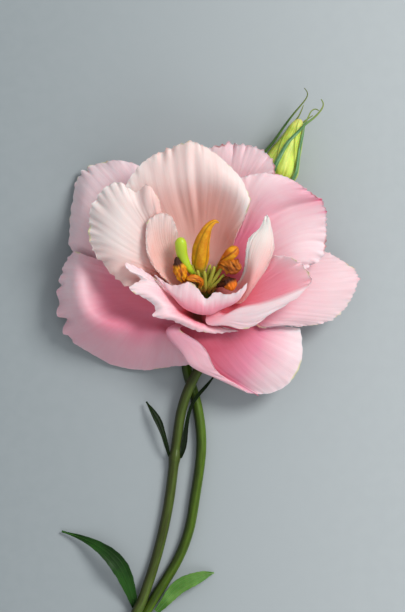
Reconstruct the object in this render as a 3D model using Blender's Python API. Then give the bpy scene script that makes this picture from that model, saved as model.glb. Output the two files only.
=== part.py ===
"""A cut lisianthus stem with one open double flower and one bud, laid down on a flat surface.

X runs across the flower, Y from the cut end towards the bud, and Z up from the surface.
Shapes are written in millimetres on a drawing whose zero is near the flower. At the end an empty moves
everything, so that the origin is under the middle of the whole stem, on the surface.
"""
import bpy
import numpy as np
from math import cos, pi, radians, sin

MM = 0.001

# Driving dimensions, in millimetres.
PETAL_THICKNESS = 0.6
LEAF_THICKNESS = 0.7
SEPAL_THICKNESS = 0.5
STEM_RADIUS = 1.3
SEAT_GAP = 0.3
FLOWER_CENTRE = np.array([0.4, 4.0, 11.0])
FLOWER_LEAN = radians(38)  # from straight up, towards +Y
SHOULDER_HEIGHT = -2.6  # top of the receptacle's rim along the flower's axis, from its centre
BUD_BASE = np.array([17.4, 29.4, 5.1])
BUD_TIP = np.array([24.6, 47.0, 6.6])
BUD_RADIUS = 5.1
SHARP_ANGLE = radians(60)  # edges steeper than this stay crisp

FLOWER_AXIS = np.array([0.0, sin(FLOWER_LEAN), cos(FLOWER_LEAN)])
FLOWER_SIDE = np.array([1.0, 0.0, 0.0])
FLOWER_BACK = np.array([0.0, cos(FLOWER_LEAN), -sin(FLOWER_LEAN)])

# Colour and roughness of each kind of piece.
FINISHES = {
    "outer_petal": ((0.78, 0.36, 0.46), 0.55),
    "inner_petal": ((0.86, 0.62, 0.60), 0.55),
    "stem": ((0.07, 0.14, 0.03), 0.45),
    "leaf": ((0.04, 0.12, 0.03), 0.5),
    "calyx": ((0.10, 0.22, 0.06), 0.5),
    "bud": ((0.55, 0.68, 0.12), 0.5),
    "anther": ((0.70, 0.30, 0.02), 0.6),
    "stigma": ((0.40, 0.65, 0.06), 0.5),
}

# Petals. A claw is its azimuth around the flower's axis in degrees and its radius. Rails run from the
# claw to the rim, the first on the clockwise side, seen from the tip of the flower.
PETALS = {
    "outer_petal_back_left": {
        "claw": (132, 4.9),
        "rails": [
            [(-5, 15, 7), (-9.5, 27, 6.8), (-12.8, 33, 6.9), (-15, 36.8, 6.4)],
            [(-8, 15, 7), (-15, 28.5, 7.8), (-19, 34, 7.6), (-21.6, 37, 6)],
            [(-9.5, 14.2, 7.2), (-19.5, 26.5, 7.9), (-25, 32.6, 6.8), (-28, 35.6, 3)],
            [(-11, 12.5, 7.6), (-22.5, 22, 7.9), (-29, 28.8, 6.6), (-31.8, 31.8, 1.4)],
            [(-11.2, 10.2, 8), (-23.8, 16.8, 8.2), (-30.4, 21.4, 7.4), (-33.2, 23.5, 2.4)],
            [(-11, 8, 8.2), (-23, 11.6, 7.8), (-31, 15.2, 7.2), (-33.8, 16.6, 3.4)],
            [(-10.4, 6.4, 8.2), (-21, 8, 7.4), (-29.4, 10.6, 6.4), (-32, 11.4, 4.2)],
        ],
    },
    "outer_petal_lower_left": {
        "claw": (200, 4.7),
        "rails": [
            [(-11, 6.5, 11), (-18, 9, 9.4), (-24.6, 11.2, 9.4),
             (-28.8, 12.5, 10.2), (-31.2, 13.5, 9.2), (-33.2, 14.4, 7)],
            [(-10.8, 5.2, 11), (-18, 6.8, 8.6), (-25.8, 8.5, 9.6),
             (-30.2, 9.4, 11.8), (-32.9, 10, 10), (-35, 9.9, 7.2)],
            [(-10.5, 3.4, 11), (-18, 3.8, 8.2), (-25.6, 3.8, 9.4),
             (-29.9, 3.8, 12.6), (-33.3, 4, 10.6), (-36.6, 3.4, 7)],
            [(-9.8, 1, 11), (-16.5, 0.9, 8), (-23.8, -0.2, 9.2),
             (-28.2, -1.4, 12.8), (-32.2, -2.4, 10.2), (-36, -3.4, 6)],
            [(-8.8, -0.8, 11), (-14, -1, 8.4), (-19.4, -2.3, 9.2),
             (-23.4, -4.5, 12), (-27.6, -7.4, 8.8), (-31.8, -9.4, 3.2)],
            [(-7, -2.4, 10.4), (-10.4, -2.8, 8.8), (-13.6, -4, 9.4),
             (-16, -6.4, 11.4), (-18.7, -11, 7.2), (-21.6, -15.2, 1.2)],
            [(-5, -3.6, 9.6), (-6.6, -4.6, 8.6), (-7.9, -5.8, 9),
             (-8.8, -7.2, 10.2), (-9.8, -11.6, 7), (-10.8, -16.4, 2)],
            [(-4, -3.8, 9), (-4, -6, 8.4), (-3.9, -8, 8.3),
             (-3.5, -10.2, 7.8), (-2.7, -13.2, 6.2), (-2, -15.8, 4.2)],
        ],
    },
    "outer_petal_front": {
        "claw": (296, 4.9),
        "rails": [
            [(-1.8, -3.7, 11.7), (-5, -4.9, 14.2), (-1, -9, 14.2),
             (2.3, -14, 12.6), (4.6, -17.2, 10.8), (12.2, -21.5, 8.8)],
            [(-2.8, -3.9, 11.1), (-7.4, -4.9, 13.2), (-5.8, -10.6, 13.4),
             (-2.8, -14.9, 11.9), (3.4, -17.9, 10.2), (12, -22, 8.4)],
            [(-1.8, -4.2, 10.4), (-5.6, -5.8, 11.3), (-3.2, -11, 10.9),
             (0.8, -15, 9.9), (6, -18, 9), (12.9, -22, 8.1)],
            [(0.6, -4.3, 10.7), (1, -7, 10.8), (4, -11.5, 10.6),
             (7.5, -15.5, 10.4), (11, -18.6, 9.6), (15.8, -22, 7.6)],
            [(2.8, -4, 10.9), (6, -6.3, 10.7), (10, -10, 11),
             (13.5, -13.6, 11), (17.2, -16.6, 10.2), (21, -20, 7.4)],
            [(4.4, -3.4, 11), (9, -5, 10.4), (13.6, -7.8, 10.6),
             (17.6, -10.2, 10.8), (21.4, -12.4, 9.8), (25, -14.2, 7.4)],
            [(5.6, -2.9, 10.7), (10.6, -3.9, 9.7), (15, -4.5, 9.3),
             (18.8, -4.9, 9.1), (22.4, -5.3, 8.5), (26, -5.8, 7.6)],
        ],
    },
    "outer_petal_right": {
        "claw": (0, 4.3),
        "rails": [
            [(10.5, -1.8, 10.6), (14.3, -5.3, 11.4), (20, -4.9, 11.2), (26.4, -5.6, 9.2)],
            [(11.2, -0.4, 10), (17, -2.9, 11.6), (24, -3.2, 11.2), (31.2, -4.1, 8.2)],
            [(12, 1.2, 9.2), (19, 0.8, 10.8), (27, 0, 10.6), (36, -0.4, 7.4)],
            [(12.4, 3.2, 8.6), (20.5, 4.6, 9.8), (29.5, 5.2, 9.6), (39, 6.4, 6.8)],
            [(12.2, 5.4, 8.5), (20, 8, 9.3), (28.5, 9.6, 9), (37.4, 10.2, 7.2)],
            [(12, 7.5, 8.6), (18.5, 11, 9), (25.5, 13.4, 8.8), (32.4, 14.4, 7.8)],
        ],
    },
    "outer_petal_upper_right": {
        "claw": (45, 4.2),
        "rails": [
            [(11.5, 6, 11.6), (17, 7.4, 13.4), (23.5, 9.2, 13.8), (29.2, 8.6, 12)],
            [(12.3, 9, 11), (18.5, 11.4, 13), (25, 13.4, 13.8), (31, 13, 12.6)],
            [(12, 11.8, 10.8), (18.5, 15.8, 12.6), (25, 19, 13.2), (31, 19.8, 13)],
            [(11.2, 14.4, 10.2), (17, 20.4, 11.6), (23.4, 23.6, 12.4), (30.3, 25.2, 13.4)],
            [(9.6, 15.6, 9.8), (14.4, 24, 12.8), (20, 28, 14.2), (26.2, 29, 14)],
            [(8, 16, 9.4), (11.5, 25, 12.8), (15, 31, 14.8), (19, 33.1, 14.6)],
            [(6.5, 15.5, 9), (7.6, 24, 12), (8, 30, 14), (9.4, 33.3, 15)],
        ],
    },
    "outer_petal_back": {
        "claw": (80, 4.8),
        "rails": [
            [(8, 17, 7.2), (14.2, 27, 10), (20.2, 33, 13)],
            [(6.6, 18, 7), (11.6, 30, 10.4), (17.4, 37.4, 13.4)],
            [(5, 18.3, 7), (9, 31, 10.6), (12.2, 40, 13.8)],
            [(3.4, 18.3, 7.2), (5.6, 31, 10.4), (7, 40.4, 13.4)],
            [(1, 18, 7.6), (2.2, 30.5, 10.5), (2.4, 40.2, 13.6)],
            [(-2, 18, 8.2), (-3, 30, 11), (-2.4, 39.5, 13)],
        ],
    },
    "inner_petal_back": {
        "claw": (95, 3.6),
        "rails": [
            [(5.5, 11.5, 10.8), (8.2, 17, 14.6), (10.2, 21.4, 17.6), (11.6, 25, 19.2), (12.2, 28.4, 19)],
            [(3.4, 12, 9.8), (6, 19.5, 13.4), (8, 25, 18), (8.8, 28.8, 20.4), (8.4, 33.4, 19.6)],
            [(1.5, 12, 9.3), (2.4, 21, 13), (3.4, 27.6, 18.2), (3.8, 31.8, 21.2), (3, 38, 20.4)],
            [(-0.5, 12, 9.3), (-1.2, 21.5, 12.8), (-1.8, 28.4, 18.2), (-2.2, 33, 21), (-2.4, 40.6, 22.2)],
            [(-2.6, 12.4, 9.5), (-5, 21.5, 13), (-6.8, 28, 18.2), (-7.6, 32.2, 20.6), (-8.6, 39, 21.4)],
            [(-5, 12.8, 10.2), (-9.5, 20.6, 13.8), (-12.6, 26.4, 17.8),
             (-14, 30.6, 19.6), (-15, 36.2, 19.6)],
            [(-7, 13, 11.2), (-12.8, 18.8, 14.6), (-16.8, 24, 17.4),
             (-19, 27.6, 18.8), (-20.4, 30.9, 18.4)],
        ],
    },
    "inner_petal_left": {
        "claw": (160, 3.6),
        "rails": [
            [(-5.5, 10.5, 13.3), (-7.6, 15.5, 16.8), (-9.4, 21, 19.6),
             (-10.6, 25.6, 21.6), (-11, 28.6, 22.4)],
            [(-6.3, 10.6, 13.2), (-9.2, 16.4, 17.4), (-11.8, 22.4, 20.8),
             (-13.2, 27.4, 23), (-13.4, 30.6, 22.6)],
            [(-7, 10.5, 13.2), (-11, 17, 17.6), (-14.4, 22.6, 20.6), (-16, 26, 21.6), (-16.8, 28.5, 21.2)],
            [(-7.5, 9.6, 12.9), (-12.4, 16.4, 17.6), (-17, 22.6, 21),
             (-19.8, 27, 22.4), (-21.4, 30.6, 21.4)],
            [(-8, 8.4, 12.6), (-13.2, 13.6, 17), (-19, 18.6, 20.6), (-23.6, 22.6, 21.2), (-26.8, 26, 19.4)],
            [(-8, 7.2, 12.4), (-13, 11, 16.4), (-19.4, 14.6, 19.6), (-24.4, 17.6, 20), (-28.3, 19.4, 18)],
            [(-7.5, 5.9, 12.2), (-12.2, 8.4, 15.6), (-18, 10.6, 18.4),
             (-23.2, 12, 18.6), (-27.4, 12.8, 16.8)],
            [(-6, 4.5, 12), (-10, 5.6, 14.5), (-14.6, 5.6, 16.2), (-19, 4.9, 16.6), (-22, 5.6, 15.6)],
        ],
    },
    "inner_petal_hood": {
        "claw": (130, 2.8),
        "rails": [
            [(-3.8, 8.4, 12.7), (-5.6, 12.6, 15.8), (-6.2, 16.4, 18.2), (-6, 20, 20)],
            [(-4.4, 8.2, 12.8), (-7.2, 13.2, 16.2), (-8, 18, 19), (-7.6, 22.2, 21.2)],
            [(-4.9, 7.8, 13), (-8.8, 13, 16.4), (-10.2, 18.4, 19.6), (-10.2, 23, 21.8)],
            [(-5.3, 7.1, 13.2), (-10.2, 11.8, 16.9), (-12, 17.4, 20), (-12.6, 21.9, 21.7)],
            [(-5.3, 6, 13.5), (-10.8, 9.8, 17.8), (-13, 15, 20.2), (-13.9, 20.6, 21.2)],
            [(-4.9, 4.2, 13.8), (-9.9, 7.2, 18.3), (-13.4, 12.2, 20), (-14.3, 17.6, 20.8)],
        ],
    },
    "inner_petal_front_left": {
        "claw": (235, 3.95),
        "rails": [
            [(-7, 3.6, 13.5), (-11.4, 6.4, 17.2), (-16.2, 9.6, 19.4), (-23.4, 12.6, 20.2)],
            [(-6.9, 3.2, 13.5), (-11, 5.6, 17.4), (-14.8, 7.5, 19.7), (-19, 8.8, 21)],
            [(-6.7, 2.6, 13.6), (-10.6, 4.6, 17.6), (-13.4, 6, 19.2), (-15.4, 6.6, 19)],
            [(-6.4, 1.8, 13.8), (-10.4, 3.6, 17.8), (-14.4, 4.6, 20), (-18.2, 4.6, 20.8)],
            [(-5.8, 0.8, 13.9), (-9.4, 1.8, 17.8), (-12.4, 2.4, 19.8), (-15.2, 2.4, 19.8)],
            [(-5, -0.4, 14), (-7.8, 0, 17.6), (-9.8, 0, 19.4), (-11.6, -0.5, 18.8)],
            [(-4.2, -1.2, 14), (-6.8, -1.4, 17.2), (-9.2, -1.9, 19.2), (-12.2, -2.5, 19.2)],
            [(-2.8, -2, 13.8), (-4.4, -2.8, 16.8), (-5.6, -3.2, 18.4), (-7.2, -3.7, 18)],
            [(-1.4, -2.9, 13.2), (-1.5, -4.1, 15.8), (-1.9, -5, 16.8), (-2.4, -5.9, 16.2)],
            [(0, -3.3, 12.6), (2.2, -5.1, 13.7), (3, -6.2, 14.1), (3.8, -6.9, 13.5)],
            [(1.6, -3.4, 12.2), (5, -5.2, 13.1), (7.8, -6, 13.5), (10.8, -6.3, 13.2)],
        ],
    },
    "inner_petal_front": {
        "claw": (268, 2.7),
        "rails": [
            [(-5.6, 2.5, 15.2), (-10.2, 5.7, 18.2), (-12.3, 8.6, 18.6)],
            [(-4.8, 1.2, 15.2), (-8.6, 3.9, 17.9), (-10.3, 6.8, 19)],
            [(-4, -0.2, 15.2), (-6.6, 1.8, 17.8), (-7, 5.2, 19)],
            [(-2.6, -0.9, 15), (-4.2, 0, 17.8), (-3.8, 6, 19.2)],
            [(-0.8, -1.6, 15.2), (-1.4, -1, 17.6), (-1.2, 4.4, 18.8)],
            [(0.8, -1.8, 15.2), (0.8, -1.4, 17.2), (1, 1.8, 18)],
            [(2.2, -1.6, 15.2), (2.9, -1, 17.2), (3, 3.4, 18.4)],
            [(3.5, -0.7, 15.3), (5.4, -0.1, 17.4), (6, 3, 18.6)],
            [(4.8, 0.1, 15.2), (8.2, 1, 18), (9.2, 4.4, 18.9)],
            [(5.6, 1.1, 15.2), (9.9, 3, 18.2), (11, 7, 19.4)],
        ],
    },
    "inner_petal_front_right": {
        "claw": (316, 3.9),
        "rails": [
            [(0.8, -3.5, 14.8), (5, -4.8, 15.9), (10.6, -5.7, 16.5), (17, -1.9, 17.9), (22.8, 1.5, 18.3)],
            [(2, -3, 15), (6.4, -3.5, 16.4), (11.6, -3.2, 17.2), (18, -0.6, 18.5), (24.6, 2.8, 19.2)],
            [(4, -1.9, 14.9), (7.6, -1.4, 16.4), (12.6, -0.3, 17.5), (18.4, 1.2, 18.8), (26, 4.7, 19.6)],
            [(4.8, -1.6, 14), (8.7, -0.7, 15.3), (13.5, 0.7, 15.9), (19, 2.5, 17.2), (26.6, 5.3, 19.2)],
            [(5.2, -1.2, 13.4), (9.2, 0.2, 14.2), (13.8, 2.1, 15), (19.2, 4.2, 17), (27.1, 6.8, 19.6)],
            [(6, -0.2, 12.7), (10.2, 2, 13.6), (14.8, 4.8, 14.8), (19.4, 7.6, 17), (25.2, 9.8, 20)],
            [(6.3, 1, 12.2), (10.6, 3.8, 13.2), (14.6, 7, 14.8), (18.2, 10, 17), (22.4, 12.2, 19.8)],
            [(6.5, 2.2, 11.8), (10.2, 5, 13), (13.6, 8.6, 15), (16.2, 11.6, 17), (18.8, 13, 19)],
        ],
    },
    "inner_petal_right": {
        "claw": (20, 2.9),
        "rails": [
            [(8.6, 0.6, 15), (12, 3.6, 17), (16, 9.6, 18.2),
             (17.7, 15.6, 19.8), (17, 19.8, 21), (16.9, 22.8, 21.8)],
            [(8.6, 1.8, 15), (12, 5.4, 18), (14.8, 10.6, 19.3),
             (16.6, 15.8, 20.6), (16.5, 19.9, 21.5), (16.3, 22.2, 22)],
            [(8.4, 3, 14.6), (11.6, 6.6, 17.8), (13.2, 11.4, 19.8),
             (15, 16, 21.1), (15.8, 19.8, 21.8), (15.9, 22.4, 22)],
            [(8, 4, 14), (11, 7.8, 17), (11.8, 12.4, 19.5),
             (13.2, 16.6, 21), (15, 19.7, 21.8), (15.5, 22.4, 22)],
            [(7.5, 5, 13.6), (10.2, 8.6, 16.8), (10.8, 13.4, 19.6),
             (12.1, 17.5, 21.1), (14.3, 19.6, 21.7), (15.1, 22.8, 21.8)],
        ],
    },
}
CLAW_HALF_WIDTH = 1.1
CORNER_ROUNDING = 0.1
PETAL_ROWS = 13
PETAL_COLUMNS = 13

# Stamens and pistil: (point, radius) along each, after a base given by azimuth and radius.
STAMENS = {
    "stamen_golden": ((100, 1.9), [
        ((-0.3, 7.6, 13), 0.45), ((-0.6, 9.9, 15.4), 1.5), ((-0.5, 12.4, 17.4), 2.1),
        ((-0.3, 14.8, 18.8), 2), ((0.5, 17.6, 20), 1.5), ((1.8, 20, 20.8), 0.95), ((3.2, 20.9, 20.8), 0.55),
        ((4.2, 20.5, 20.3), 0.25)]),
    "stamen_right_top": ((35, 1.9), [
        ((3, 8.4, 13.5), 0.35), ((4.7, 11.7, 16.2), 0.5), ((6.7, 13, 17.6), 1.2), ((7.7, 13.6, 18.4), 1.4),
        ((8.6, 14.5, 19), 0.9)]),
    "stamen_right_middle": ((8, 1.9), [
        ((3.4, 6.6, 14), 0.35), ((4.9, 8.1, 15.9), 0.8), ((6.2, 9.2, 16.7), 1.35), ((7.6, 9.8, 17.1), 1.4),
        ((8.8, 10.1, 17.3), 0.9)]),
    "stamen_right_low": ((335, 1.9), [
        ((3.2, 4.6, 14), 0.35), ((5, 5, 16.2), 0.9), ((6.6, 5.2, 17.2), 1.3), ((7.4, 3.8, 17.4), 0.8)]),
    "stamen_left": ((165, 1.9), [
        ((-3.3, 6.4, 14.6), 0.35), ((-5.2, 7.6, 17.3), 0.9), ((-5.9, 9.3, 18.4), 1.3),
        ((-6.4, 11.6, 19.4), 0.8)]),
    "stamen_centre": ((215, 1.9), [
        ((-1.2, 4, 14.5), 0.35), ((-0.6, 5.6, 17.6), 0.6), ((-2, 6.5, 18.6), 0.8), ((-3.8, 6.8, 19), 0.5)]),
}
PISTIL = [((0.3, 5.6, 13), 1.2), ((-1, 6.8, 14.6), 0.8), ((-2.9, 8.6, 16.6), 0.6), ((-4, 10.8, 18.2), 0.75),
          ((-4.9, 13.8, 20), 1.2), ((-5.6, 16.9, 21.8), 0.9)]

# Stems: the route of each centre line.
MAIN_STEM = [(-22.5, -97, 1.27), (-20, -89, 1.27), (-16.4, -80.5, 1.27), (-13.7, -76.3, 1.27),
             (-10.7, -71.5, 1.27), (-6.4, -64.3, 1.27), (-3.2, -55.7, 1.27), (-1.9, -48.3, 1.27),
             (-0.7, -40.3, 1.27), (-0.3, -34.7, 1.27), (-0.7, -29.1, 1.27), (-2.1, -22.4, 1.27),
             (-4, -15.5, 1.27), (-3.5, -9.6, 1.3), (-1.1, -5.4, 1.65)]
BUD_STEM = [(-17, -77.9, 3.6), (-15.9, -75.8, 3.3), (-14.6, -72.6, 2.6), (-12.3, -65.7, 1.5),
            (-10, -57.1, 1.27), (-8.3, -48.3, 1.27), (-7, -38, 1.3), (-6.4, -33.6, 1.5), (-5.4, -26.9, 2.8),
            (-3, -19.8, 4.5), (0.6, -13.5, 4.6), (4.6, -7, 4), (8.2, 0.5, 3.4), (11.2, 10, 2.8),
            (14.2, 20, 3.4), (16.7, 27.6, 4.95)]

# Blades: centre line with half widths, and how far they are folded along the middle.
BLADES = {
    "leaf_left": ("leaf", [((-16.6, -77.4, 1.1), 0.55), ((-18.3, -71.8, 2.2), 1.25),
                           ((-21.4, -65, 3.8), 1.85), ((-25.9, -60.9, 3.2), 1.4), ((-30.8, -58.5, 1.7), 0.7),
                           ((-35.8, -57, 0.8), 0.15)]),
    "leaf_right": ("leaf", [((-11.6, -77.2, 1.7), 0.7), ((-9, -74.2, 2.6), 1.3),
                            ((-5.6, -70.6, 3.2), 1.7), ((-2, -68.9, 2.9), 1.5), ((0.8, -67.9, 1.9), 0.9),
                            ((3, -67.5, 0.8), 0.15)]),
    "bract_left": ("leaf", [((-8.75, -37.6, 1.8), 0.15), ((-9.15, -35.6, 2.4), 0.45),
                            ((-9.9, -32.4, 2.8), 0.6), ((-11.3, -28.8, 2.6), 0.85),
                            ((-12.8, -26.3, 2.2), 0.55), ((-14.2, -24.2, 1.6), 0.12)]),
    "bract_right": ("leaf", [((-5.1, -37.6, 2.1), 0.2), ((-4.55, -36, 2.3), 0.45),
                             ((-4.1, -32.2, 2.6), 0.5), ((-3.55, -28.4, 3.3), 0.38),
                             ((-2.2, -24.2, 4.2), 0.4), ((0.9, -20.2, 3.7), 0.38),
                             ((3.1, -17.5, 3), 0.12)]),
}
BLADE_FOLD = 0.25

# Bud sepals: azimuth around the bud (one, or one for each place), how many places along it they keep to,
# and the free tip beyond.
BUD_SEPAL_PLACES = (0.06, 0.16, 0.3, 0.5, 0.7, 0.86)  # shares of the bud's length
BUD_SEPALS = {
    "bud_sepal_1": (174, 4, [(20, 44.3, 7.6), (22.8, 48.1, 7.8), (25.3, 51.1, 7.5), (26.4, 53.4, 7.2),
                             (25.6, 54.8, 6.9)]),
    "bud_sepal_2": (228, 6, [(23.9, 47.3, 5.6), (24.8, 49, 6), (25.4, 50.5, 6.2)]),
    "bud_sepal_3": ((104, 104, 104, 104, 97, 70), 6, [(25.4, 45.2, 9), (27.3, 46.7, 9), (29.3, 48.6, 8.7),
                                                      (30.3, 50.8, 8.2), (29.8, 51.9, 7.9)]),
    "bud_sepal_4": (43, 6, [(25.7, 45.6, 7.6), (26.6, 47.5, 7.2), (27.5, 49.1, 6.9), (28.5, 49.5, 6.6),
                            (29.3, 49.1, 6.4)]),
    "bud_sepal_5": (300, 6, [(25.5, 46.3, 4.7), (26.6, 47.2, 4.6), (27.8, 48, 4.6)]),
}
FLOWER_SEPAL_AZIMUTHS = (60, 132, 204, 276, 348)

# Turned pieces: (distance along the axis, radius) from the stem end upwards.
RECEPTACLE_PROFILE = [(-8.4, 1.3), (-7.4, 1.9), (-6, 2.7), (-4.6, 3.9), (-3.4, 4.8), (SHOULDER_HEIGHT, 4.4)]
BUD_RECEPTACLE_PROFILE = [(-1.6, 1.2), (-0.9, 1.5), (0.02, 1.6)]


# ---- curves and frames ----

def spline(knots, values, at):
    """Natural cubic spline through values at knots, read at the places in at."""
    knots, values, at = (np.asarray(a, float) for a in (knots, values, at))
    step = np.diff(knots)
    size = len(knots)
    matrix = np.eye(size)
    right = np.zeros((size,) + values.shape[1:])
    slope = (values[1:] - values[:-1]) / step.reshape((-1,) + (1,) * (values.ndim - 1))
    for i in range(1, size - 1):
        matrix[i, i - 1:i + 2] = step[i - 1], 2 * (step[i - 1] + step[i]), step[i]
        right[i] = 6 * (slope[i] - slope[i - 1])
    bend = np.linalg.solve(matrix, right.reshape(size, -1)).reshape(right.shape)
    cell = np.clip(np.searchsorted(knots, at, side="right") - 1, 0, size - 2)
    shape = (-1,) + (1,) * (values.ndim - 1)
    width = step[cell].reshape(shape)
    after = (at - knots[cell]).reshape(shape)
    before = width - after
    return ((bend[cell] * before**3 + bend[cell + 1] * after**3) / (6 * width)
            + (values[cell] / width - bend[cell] * width / 6) * before
            + (values[cell + 1] / width - bend[cell + 1] * width / 6) * after)


def chord_knots(points):
    """Knots from 0 to 1 spaced by the distances between points."""
    lengths = np.linalg.norm(np.diff(points, axis=0), axis=1)
    return np.concatenate([[0], np.cumsum(lengths)]) / lengths.sum()


def smooth_path(points, count):
    points = np.asarray(points, float)
    return spline(chord_knots(points), points, np.linspace(0, 1, count))


def unit(vectors):
    return vectors / np.linalg.norm(vectors, axis=-1, keepdims=True)


def flower_point(azimuth, radius, height):
    """A point by its place around and along the flower's axis."""
    angle = radians(azimuth)
    out = cos(angle) * FLOWER_SIDE + sin(angle) * FLOWER_BACK
    return FLOWER_CENTRE + radius * out + height * FLOWER_AXIS


# ---- closed meshes ----

def add_object(name, finish, points, faces):
    """Makes the named object with its own material. Its faces are turned outwards."""
    points = np.asarray(points, float) * MM
    volume = sum(np.dot(points[f[0]], np.cross(points[f[i]], points[f[i + 1]]))
                 for f in faces for i in range(1, len(f) - 1))
    if volume < 0:
        faces = [f[::-1] for f in faces]
    centre = points.mean(axis=0)
    mesh = bpy.data.meshes.new(name)
    mesh.from_pydata((points - centre).tolist(), [], faces)
    mesh.update()
    mesh.shade_smooth()
    mesh.set_sharp_from_angle(angle=SHARP_ANGLE)
    piece = bpy.data.objects.new(name, mesh)
    piece.location = centre
    bpy.context.scene.collection.objects.link(piece)
    mesh.materials.append(new_material(name, *FINISHES[finish]))


def new_material(name, colour, roughness):
    material = bpy.data.materials.new(name)
    material.use_nodes = True
    shader = material.node_tree.nodes["Principled BSDF"]
    shader.inputs["Base Color"].default_value = (*colour, 1)
    shader.inputs["Roughness"].default_value = roughness
    shader.inputs["Metallic"].default_value = 0
    return material


def sheet_shell(grid, thickness):
    """Points and faces of a closed shell of even thickness about a grid of surface points."""
    along = np.gradient(grid, axis=0)
    across = np.gradient(grid, axis=1)
    normal = unit(np.cross(along, across))
    rows, columns = grid.shape[:2]
    front = (grid + normal * thickness / 2).reshape(-1, 3)
    back = (grid - normal * thickness / 2).reshape(-1, 3)
    size = rows * columns
    faces = []
    for i in range(rows - 1):
        for j in range(columns - 1):
            a = i * columns + j
            faces.append((a, a + columns, a + columns + 1, a + 1))
            faces.append((size + a, size + a + 1, size + a + columns + 1, size + a + columns))
    edge = list(range(columns))
    edge += [i * columns + columns - 1 for i in range(1, rows)]
    edge += [(rows - 1) * columns + j for j in range(columns - 2, -1, -1)]
    edge += [i * columns for i in range(rows - 2, 0, -1)]
    for a, b in zip(edge, edge[1:] + edge[:1]):
        faces.append((a, b, size + b, size + a))
    return np.concatenate([front, back]), faces


def tube(path, radii, sides, flat=1.0, up=(0.0, 0.0, 1.0)):
    """Points and faces of a closed tube. flat is its thickness along up as a share of its width."""
    path = np.asarray(path, float)
    tangent = unit(np.gradient(path, axis=0))
    side = np.cross(tangent[0], up)
    rings = []
    for point, direction, radius in zip(path, tangent, radii):
        side = unit(side - direction * np.dot(side, direction))
        rise = np.cross(side, direction)
        for k in range(sides):
            angle = 2 * pi * k / sides
            rings.append(point + radius * (cos(angle) * side + flat * sin(angle) * rise))
    faces = [tuple(range(sides)), tuple(range(len(rings) - 1, len(rings) - 1 - sides, -1))]
    for i in range(len(path) - 1):
        for k in range(sides):
            a, b = i * sides + k, i * sides + (k + 1) % sides
            faces.append((a, a + sides, b + sides, b))
    return rings, faces


# ---- pieces ----

def petal_grid(claw, rails, rows, columns):
    """Surface points of a petal, from its claw on the receptacle to its rim."""
    azimuth, radius = claw
    half_angle = CLAW_HALF_WIDTH / radius * 180 / pi
    azimuths = np.linspace(azimuth - half_angle, azimuth + half_angle, len(rails))
    height = SHOULDER_HEIGHT + SEAT_GAP
    stations = np.array([[flower_point(a, radius, height), flower_point(a, radius, height + 1.2), *rail]
                         for a, rail in zip(azimuths, np.asarray(rails, float))])
    knots = chord_knots(stations.mean(axis=0))
    across_knots = np.linspace(-1, 1, len(rails))
    grid = np.empty((rows, columns, 3))
    for j, v in enumerate(np.linspace(-1, 1, columns)):
        line = spline(across_knots, stations, [v])[0]
        u = np.linspace(0, 1, rows)
        grid[:, j] = spline(knots, line, u * (1 - CORNER_ROUNDING * v**4 * u**2))
    return grid


def add_petals():
    for name, petal in PETALS.items():
        grid = petal_grid(petal["claw"], petal["rails"], PETAL_ROWS, PETAL_COLUMNS)
        finish = "outer_petal" if name.startswith("outer") else "inner_petal"
        add_object(name, finish, *sheet_shell(grid, PETAL_THICKNESS))


def turned(name, finish, start, direction, profile, sides):
    """A body turned about the line from start, from a profile of (distance along, radius)."""
    path = [start + direction * along for along, radius in profile]
    frame_side = unit(np.cross(direction, [1.0, 0.0, 0.0]))
    frame_up = np.cross(direction, frame_side)
    points = []
    for centre, (along, radius) in zip(path, profile):
        for k in range(sides):
            angle = 2 * pi * k / sides
            points.append(centre + radius * (cos(angle) * frame_side + sin(angle) * frame_up))
    faces = [tuple(range(sides)), tuple(range(len(points) - 1, len(points) - 1 - sides, -1))]
    for i in range(len(profile) - 1):
        for k in range(sides):
            a, b = i * sides + k, i * sides + (k + 1) % sides
            faces.append((a, a + sides, b + sides, b))
    add_object(name, finish, points, faces)


def add_receptacle():
    turned("receptacle", "calyx", FLOWER_CENTRE, FLOWER_AXIS, RECEPTACLE_PROFILE, 20)


def add_flower_sepals():
    """Five linear lobes that spread from the receptacle's side under the outer petals."""
    for number, azimuth in enumerate(FLOWER_SEPAL_AZIMUTHS, 1):
        front = -sin(radians(azimuth))
        tip_height = -5 - 6 * front if front > 0 else -3
        profile = [(2.9, -7.3), (4.9, -5.6), (8, (tip_height - 5.4) / 2), (12, tip_height)]
        path = smooth_path([flower_point(azimuth, *place) for place in profile], 9)
        radii = 0.75 * np.sqrt(1 - np.linspace(0, 1, 9)**1.5 * 0.98)
        out = flower_point(azimuth, 1, 0) - FLOWER_CENTRE
        add_object(f"flower_sepal_{number}", "calyx", *tube(path, radii, 8, flat=0.35, up=out))


def add_stamens():
    for name, ((azimuth, radius), places) in STAMENS.items():
        base = flower_point(azimuth, radius, SHOULDER_HEIGHT + SEAT_GAP)
        points = np.array([base] + [p for p, r in places], float)
        widths = np.array([0.3] + [r for p, r in places])
        knots = chord_knots(points)
        at = np.linspace(0, 1, 12)
        add_object(name, "anther", *tube(spline(knots, points, at), np.interp(at, knots, widths), 8))


def add_pistil():
    base = flower_point(0, 0, SHOULDER_HEIGHT + SEAT_GAP)
    points = np.array([base] + [p for p, r in PISTIL], float)
    widths = np.array([1.2] + [r for p, r in PISTIL])
    knots = chord_knots(points)
    at = np.linspace(0, 1, 14)
    add_object("pistil", "stigma", *tube(spline(knots, points, at), np.interp(at, knots, widths), 10))


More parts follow.
